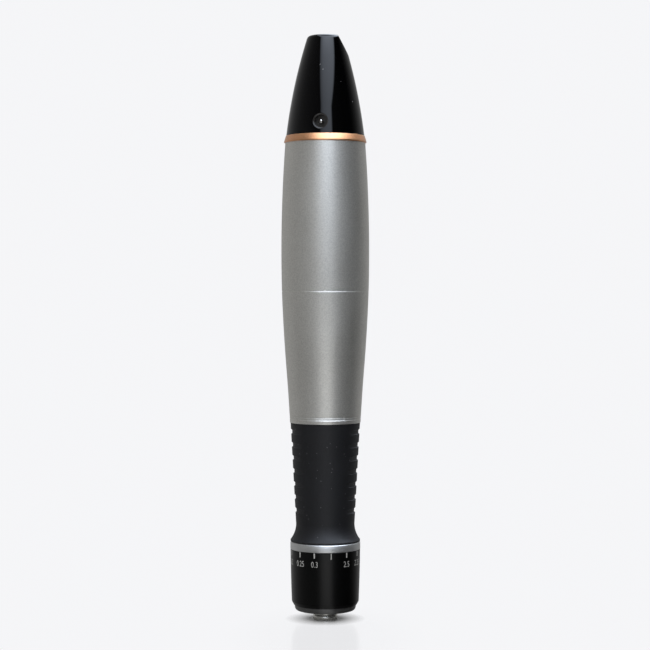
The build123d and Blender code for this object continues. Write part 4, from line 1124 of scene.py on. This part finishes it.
class PEN_OT_nose(bpy.types.Operator):
    """Nose collar with its socket, and the driver rod in its middle"""

    bl_idname = "pen.nose"
    bl_label = "Nose"

    web = 14.1
    sleeve_top = 21.1
    web_bore = 5.96
    seal_level = 8.5
    seal_half = 0.45
    tier_top = 7.7
    bayonet_half = 1.1
    bayonet_depth = 0.6
    bayonet_height = 3.4
    lip_level = 0.7
    lip_step = 0.26
    lip_slopes = (0.4, 0.7)
    head_top = 4.5
    stem = 2.0
    stem_foot = 5.3
    stem_top = 50.4
    tail = 1.6
    tail_top = 53.6
    clip_radius = 1.3
    clip_foot = 52.6
    clip_top = 53.1

    def collar(self):
        """Tier, sleeve and stepped bore with the seal's groove."""
        low, high = self.seal_level - self.seal_half, self.seal_level + self.seal_half
        return turned(rounded([
            (SOCKET, NOSE, 0.12), (TIER, NOSE, 1.2), (TIER, self.tier_top, 0.1),
            (SLEEVE, self.tier_top), (SLEEVE, self.sleeve_top),
            (self.web_bore, self.sleeve_top), (self.web_bore, self.web), (SOCKET, self.web),
            (SOCKET, high), (SOCKET + self.seal_half, high), (SOCKET + self.seal_half, low), (SOCKET, low),
        ]))

    def rod(self):
        """Lipped head, stem, and tail with the groove of its retaining ring."""
        waist = ROD_HEAD - self.lip_step
        lean, fall = (self.lip_level + slope for slope in self.lip_slopes)
        return turned(rounded([
            (0, 0), (ROD_HEAD, 0, 0.35), (ROD_HEAD, self.lip_level),
            (ROD_HEAD - self.lip_step / 5, lean), (waist, fall), (waist, self.head_top, 0.15),
            (self.stem, self.stem_foot), (self.stem, self.stem_top), (self.tail, self.stem_top),
            (self.tail, self.clip_foot), (self.clip_radius, self.clip_foot),
            (self.clip_radius, self.clip_top), (self.tail, self.clip_top),
            (self.tail, self.tail_top), (0, self.tail_top),
        ]), 160)

    def execute(self, context):
        grey = surface(
            "collar_satin", (0.021, 0.021, 0.0205), 0.42, grain=0.2, depth=0.004, tone=0.15,
            smudge=0.06, wear=(0.04, 0.04, 0.04), constants={"IOR": 1.9},
        )
        tier = placed("nose_collar_tier", self.collar(), grey, "nose_collar", ["nose_collar"])
        half = self.bayonet_half
        for side in (1, -1):
            ends = sorted((side * (SOCKET - 1), side * (SOCKET + self.bayonet_depth)))
            cut_away(tier, boxed((ends[0], -half, NOSE - 1), (ends[1], half, NOSE + self.bayonet_height)))
        steel = surface(
            "polished_steel", (0.66, 0.655, 0.62), 0.28, metallic=0.88, grain=0.4,
            depth=0.004, tone=0.15, streak=0.004, smudge=0.08,
        )
        placed("driver_rod_polished", self.rod(), steel, "needle_driver", ["driver_rod"])
        return {"FINISHED"}


class PEN_OT_controls(bpy.types.Operator):
    """Power button on the back"""

    bl_idname = "pen.controls"
    bl_label = "Controls"

    # Distances from the pen's axis
    foot = 8.93
    flange_top = 9.43
    face = 12.58
    flange_radius = 3.2
    stem_radius = 2.5
    edge_ease = 0.3
    dish_radius = 2.15
    dish_depth = 0.2
    dish_bow = 0.04
    below_face = 0.02

    def execute(self, context):
        rim = self.face - self.below_face
        outline = [(0, self.foot), (self.flange_radius, self.foot), (self.flange_radius, self.flange_top)]
        outline += [(self.stem_radius, self.flange_top), (self.stem_radius, rim, self.edge_ease)]
        middle = (0, self.face - self.dish_depth)
        outline += bow(middle, (self.dish_radius, rim), self.dish_bow, 16)[::-1]
        button = aimed(turned(rounded(outline), 128), BACK, BUTTON_LEVEL)
        grey = surface(
            "button_satin", (0.30, 0.305, 0.305), 0.35, grain=0.2, depth=0.004, tone=0.12,
            smudge=0.08, wear=(0.5, 0.5, 0.5),
        )
        placed("power_button_cap", button, grey, "power_button", ["power_button"])
        return {"FINISHED"}


class PEN_OT_inner_pieces(bpy.types.Operator):
    """Finishes of all the pieces that stay as the CAD model has them"""

    bl_idname = "pen.inner_pieces"
    bl_label = "Inner pieces"

    # Slot: roughness, metallic, grain and its depth and turning marks in millimetres, edge wear
    looks = {
        "steel": (0.30, 1.0, 0.3, 0.004, 0.004, (0.70, 0.70, 0.70)),
        "spring_steel": (0.25, 1.0, 0.2, 0.003, 0.0, (0.65, 0.65, 0.65)),
        "bronze": (0.35, 1.0, 0.3, 0.006, 0.003, (0.80, 0.60, 0.35)),
        "copper": (0.30, 1.0, 0.2, 0.006, 0.0, (0.85, 0.55, 0.40)),
        "core_aluminium": (0.38, 1.0, 0.3, 0.005, 0.006, (0.80, 0.80, 0.80)),
        "nylon_white": (0.45, 0.0, 0.4, 0.008, 0.0, (0.88, 0.87, 0.84)),
        "nylon_black": (0.42, 0.0, 0.3, 0.008, 0.0, (0.10, 0.10, 0.10)),
        "magnet_dark": (0.60, 0.2, 0.2, 0.012, 0.0, (0.20, 0.20, 0.20)),
        "lamination": (0.45, 0.8, 0.3, 0.006, 0.008, (0.50, 0.50, 0.50)),
        "foam_grey": (0.95, 0.0, 0.5, 0.06, 0.0, None),
        "seal_black": (0.50, 0.0, 0.2, 0.004, 0.0, None),
        "board_green": (0.35, 0.0, 0.4, 0.006, 0.0, (0.30, 0.45, 0.25)),
        "chip_black": (0.50, 0.0, 0.2, 0.004, 0.0, (0.10, 0.10, 0.10)),
        "cell_sleeve": (0.20, 0.0, 0.6, 0.004, 0.0, None),
        "lead_red": (0.40, 0.0, 0.3, 0.004, 0.0, None),
        "lens_clear": (0.25, 0.0, 0.3, 0.002, 0.0, None),
        "button_grey": (0.35, 0.0, 0.2, 0.004, 0.0, (0.60, 0.60, 0.60)),
        "collar_grey": (0.34, 0.0, 0.2, 0.004, 0.0, (0.12, 0.12, 0.12)),
        "rod_steel": (0.12, 1.0, 0.4, 0.002, 0.003, None),
    }

    def execute(self, context):
        colors = {row["slot"]: row["base_color"] for row in frame["record"]["materials"]}
        finishes = {}
        for row in frame["record"]["subparts"]:
            node = frame["nodes"][row["node"]]
            if node.hide_render:
                continue
            slot = row["material_slot"]
            if slot not in self.looks:
                raise RuntimeError("no finish for slot " + slot)
            if slot not in finishes:
                roughness, metallic, grain, depth, streak, wear = self.looks[slot]
                finishes[slot] = surface(
                    "inner_" + slot, colors[slot], roughness, metallic=metallic, grain=grain,
                    depth=depth, streak=streak, wear=wear,
                )
            node.data.materials.clear()
            node.data.materials.append(finishes[slot])
        return {"FINISHED"}


class PEN_OT_studio(bpy.types.Operator):
    """Floor, soft light, pale backdrop and camera"""

    bl_idname = "pen.studio"
    bl_label = "Studio"

    floor_size = 3.0
    paper_color = (0.80, 0.80, 0.81, 1)
    # Darker floor colour near the pen, lit and shadowed for real: painted shade that deepens the contact
    # shadow
    painted_shade_color = (0.38, 0.38, 0.38, 1)
    # Distances from the pen's axis over which the darker floor near the pen fades out, as seen and as
    # reflected: real shadow deepened by painted shade
    contact_reach = (0.0045, 0.0115)
    reflected_reach = (0.004, 0.012)
    # Ellipse in front of the pen where the floor mirrors it, and the shares of it that fade out
    mirror_middle = (0.0, -0.026, 0.0)
    mirror_half = (0.016, 0.030)
    mirror_fade = (1.0, 1.7)
    mirror = 0.68
    mirror_roughness = 0.18
    mirrored_wall = 0.5
    waist_height = 0.06
    even = 0.55
    light_aim = (0, 0, 0.09)
    # Name: azimuth and elevation in degrees, distance, width, height, and share of the power
    softboxes = {
        "front_softbox": (-10, 22, 1.5, 1.1, 1.8, 1.0),
        "left_softbox": (-50, 12, 1.5, 1.0, 1.6, 0.7),
        "back_softbox": (170, 30, 1.6, 1.2, 1.2, 0.5),
    }

    def mixed(self, tree, share, first, second):
        """Mix of two shaders."""
        return add(tree, "MixShader", {"Fac": share, 1: first, 2: second})[0]

    def glow(self, tree, color):
        """Plain emission."""
        return add(tree, "Emission", {"Color": color})[0]

    def floor_seen(self, tree, place, distance, painted_shade, backdrop):
        """Floor to the camera: near the pen a darker diffuse floor, real shadow deepened by painted shade,
        and a soft mirror image in front of it.
        """
        away = spread(tree, distance, *self.contact_reach)
        ahead = moved(tree, "SUBTRACT", place, self.mirror_middle)
        wide, deep = self.mirror_half
        reach = length_of(tree, moved(tree, "MULTIPLY", ahead, (1 / wide, 1 / deep, 0)))
        sheen = add(tree, "Fresnel", {"IOR": 1.45})[0]
        share = solved(tree, "MULTIPLY", sheen, self.mirror)
        gloss = {"Color": share, "Roughness": self.mirror_roughness}
        glaze = add(tree, "BsdfGlossy", gloss)[0]
        lost = solved(tree, "MULTIPLY", share, self.mirrored_wall)
        dimmed = moved(tree, "SUBTRACT", backdrop, lost)
        ground = self.mixed(tree, away, painted_shade, self.glow(tree, dimmed))
        glazed = add(tree, "AddShader", {0: ground, 1: glaze})[0]
        bare = self.mixed(tree, away, painted_shade, self.glow(tree, (*backdrop, 1)))
        return self.mixed(tree, spread(tree, reach, *self.mirror_fade), glazed, bare)

    def floor(self, settings):
        """Pale glazed floor, clear from below, that shows the room to reflections."""
        mesh = bmesh.new()
        bmesh.ops.create_grid(mesh, x_segments=24, y_segments=24, size=self.floor_size / 2)
        floor = linked("studio_floor", baked("studio_floor", mesh))
        material = bpy.data.materials.new("floor_glaze")
        material.use_nodes = True
        tree = material.node_tree
        tree.nodes.clear()
        place = add(tree, "TexCoord")["Object"]
        distance = length_of(tree, place)
        paper = add(tree, "BsdfDiffuse", {"Color": self.paper_color})[0]
        # Painted shade: a darker diffuse floor near the pen, where the real shadow falls
        painted_shade = add(tree, "BsdfDiffuse", {"Color": self.painted_shade_color})[0]
        seen = self.floor_seen(tree, place, distance, painted_shade, tuple(settings.backdrop_color))
        below = moved(tree, "ADD", place, (0, 0, -self.waist_height))
        room = self.glow(tree, use(tree, "room", below)["Color"])
        # Reflections also see the painted shade of the darker floor near the pen
        reflected = self.mixed(tree, spread(tree, distance, *self.reflected_reach), painted_shade, room)
        path = add(tree, "LightPath")
        others = self.mixed(tree, path["Is Glossy Ray"], paper, reflected)
        straight = solved(tree, "MAXIMUM", path["Is Camera Ray"], path["Is Transmission Ray"])
        shown = self.mixed(tree, straight, others, seen)
        under = add(tree, "NewGeometry")["Backfacing"]
        clear = add(tree, "BsdfTransparent")[0]
        add(tree, "OutputMaterial", {"Surface": self.mixed(tree, under, shown, clear)})
        floor.data.materials.append(material)
        floor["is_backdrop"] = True

    def backdrop(self, settings):
        """World: white to the camera, the room to reflections and even light to the rest."""
        world = bpy.data.worlds.new("studio")
        bpy.context.scene.world = world
        world.use_nodes = True
        tree = world.node_tree
        tree.nodes.clear()
        room = use(tree, "room", add(tree, "TexCoord")["Generated"])["Color"]
        path = add(tree, "LightPath")
        either = solved(tree, "MAXIMUM", path["Is Glossy Ray"], path["Is Transmission Ray"])
        lit = tinted(tree, either, (self.even, self.even, self.even), room)
        shown = tinted(tree, path["Is Camera Ray"], lit, settings.backdrop_color)
        light = add(tree, "Background", {"Color": shown})[0]
        add(tree, "OutputWorld", {"Surface": light})

    def softbox(self, name, azimuth, elevation, distance, width, height, power):
        """Rectangular area light that faces the pen's middle. Reflections see the room's softbox."""
        lamp = bpy.data.lights.new(name, "AREA")
        lamp.shape = "RECTANGLE"
        lamp.size = width
        lamp.size_y = height
        lamp.energy = power
        light = linked(name, lamp)
        angle = math.radians(azimuth)
        tilt = math.radians(elevation)
        level = math.cos(tilt)
        way = Vector((math.sin(angle) * level, -math.cos(angle) * level, math.sin(tilt)))
        light.location = Vector(self.light_aim) + way * distance
        light.rotation_euler = (-way).to_track_quat("-Z", "Y").to_euler()
        light.visible_camera = False
        light.visible_glossy = False

    def camera(self, settings):
        """Camera at the photograph's height and distance."""
        lens = bpy.data.cameras.new("photo_camera")
        lens.lens = settings.camera_lens
        lens.sensor_width = 36.0
        lens.shift_x = settings.camera_shift
        lens.clip_start = 0.01
        camera = linked("photo_camera", lens)
        camera.location = (0, -settings.camera_distance, settings.camera_height)
        way = Vector((0, 0, settings.camera_aim)) - camera.location
        camera.rotation_euler = way.to_track_quat("-Z", "Y").to_euler()
        bpy.context.scene.camera = camera

    def execute(self, context):
        settings = context.scene.pen_stage
        self.floor(settings)
        self.backdrop(settings)
        for name, (*place, share) in self.softboxes.items():
            self.softbox(name, *place, settings.softbox_power * share)
        self.camera(settings)
        context.scene.view_settings.view_transform = "Standard"
        return {"FINISHED"}


class PEN_PT_dressing(bpy.types.Panel):
    """Settings and steps of the dressing"""

    bl_label = "Needling pen"
    bl_idname = "PEN_PT_dressing"
    bl_space_type = "VIEW_3D"
    bl_region_type = "UI"
    bl_category = "Pen"

    def draw(self, context):
        for name in SETTINGS:
            group = getattr(context.scene, name)
            box = self.layout.box()
            for label in group.bl_rna.properties.keys():
                if label not in ("rna_type", "name"):
                    box.prop(group, label)
        for step in STEPS:
            self.layout.operator(step.bl_idname)


SETTINGS = {
    "pen_shells": PenShellSettings,
    "pen_grip": PenGripSettings,
    "pen_dial": PenDialSettings,
    "pen_stage": PenStageSettings,
}
STEPS = (
    PEN_OT_tail_cap,
    PEN_OT_inlet,
    PEN_OT_trim_ring,
    PEN_OT_shells,
    PEN_OT_grip,
    PEN_OT_index_ring,
    PEN_OT_depth_dial,
    PEN_OT_nose,
    PEN_OT_controls,
    PEN_OT_inner_pieces,
    PEN_OT_studio,
)
CLASSES = (*SETTINGS.values(), *STEPS, PEN_PT_dressing)


def register():
    for entry in CLASSES:
        bpy.utils.register_class(entry)
    for name, kind in SETTINGS.items():
        setattr(bpy.types.Scene, name, PointerProperty(type=kind))


def unregister():
    for name in SETTINGS:
        delattr(bpy.types.Scene, name)
    for entry in reversed(CLASSES):
        bpy.utils.unregister_class(entry)


def corners():
    """The object's box as plain lists."""
    return [[float(value) for value in corner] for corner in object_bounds()]


def main():
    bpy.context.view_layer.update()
    register()
    build_effects()
    for step in STEPS:
        group, name = step.bl_idname.split(".")
        getattr(getattr(bpy.ops, group), name)()


if __name__ == "__main__":
    main()
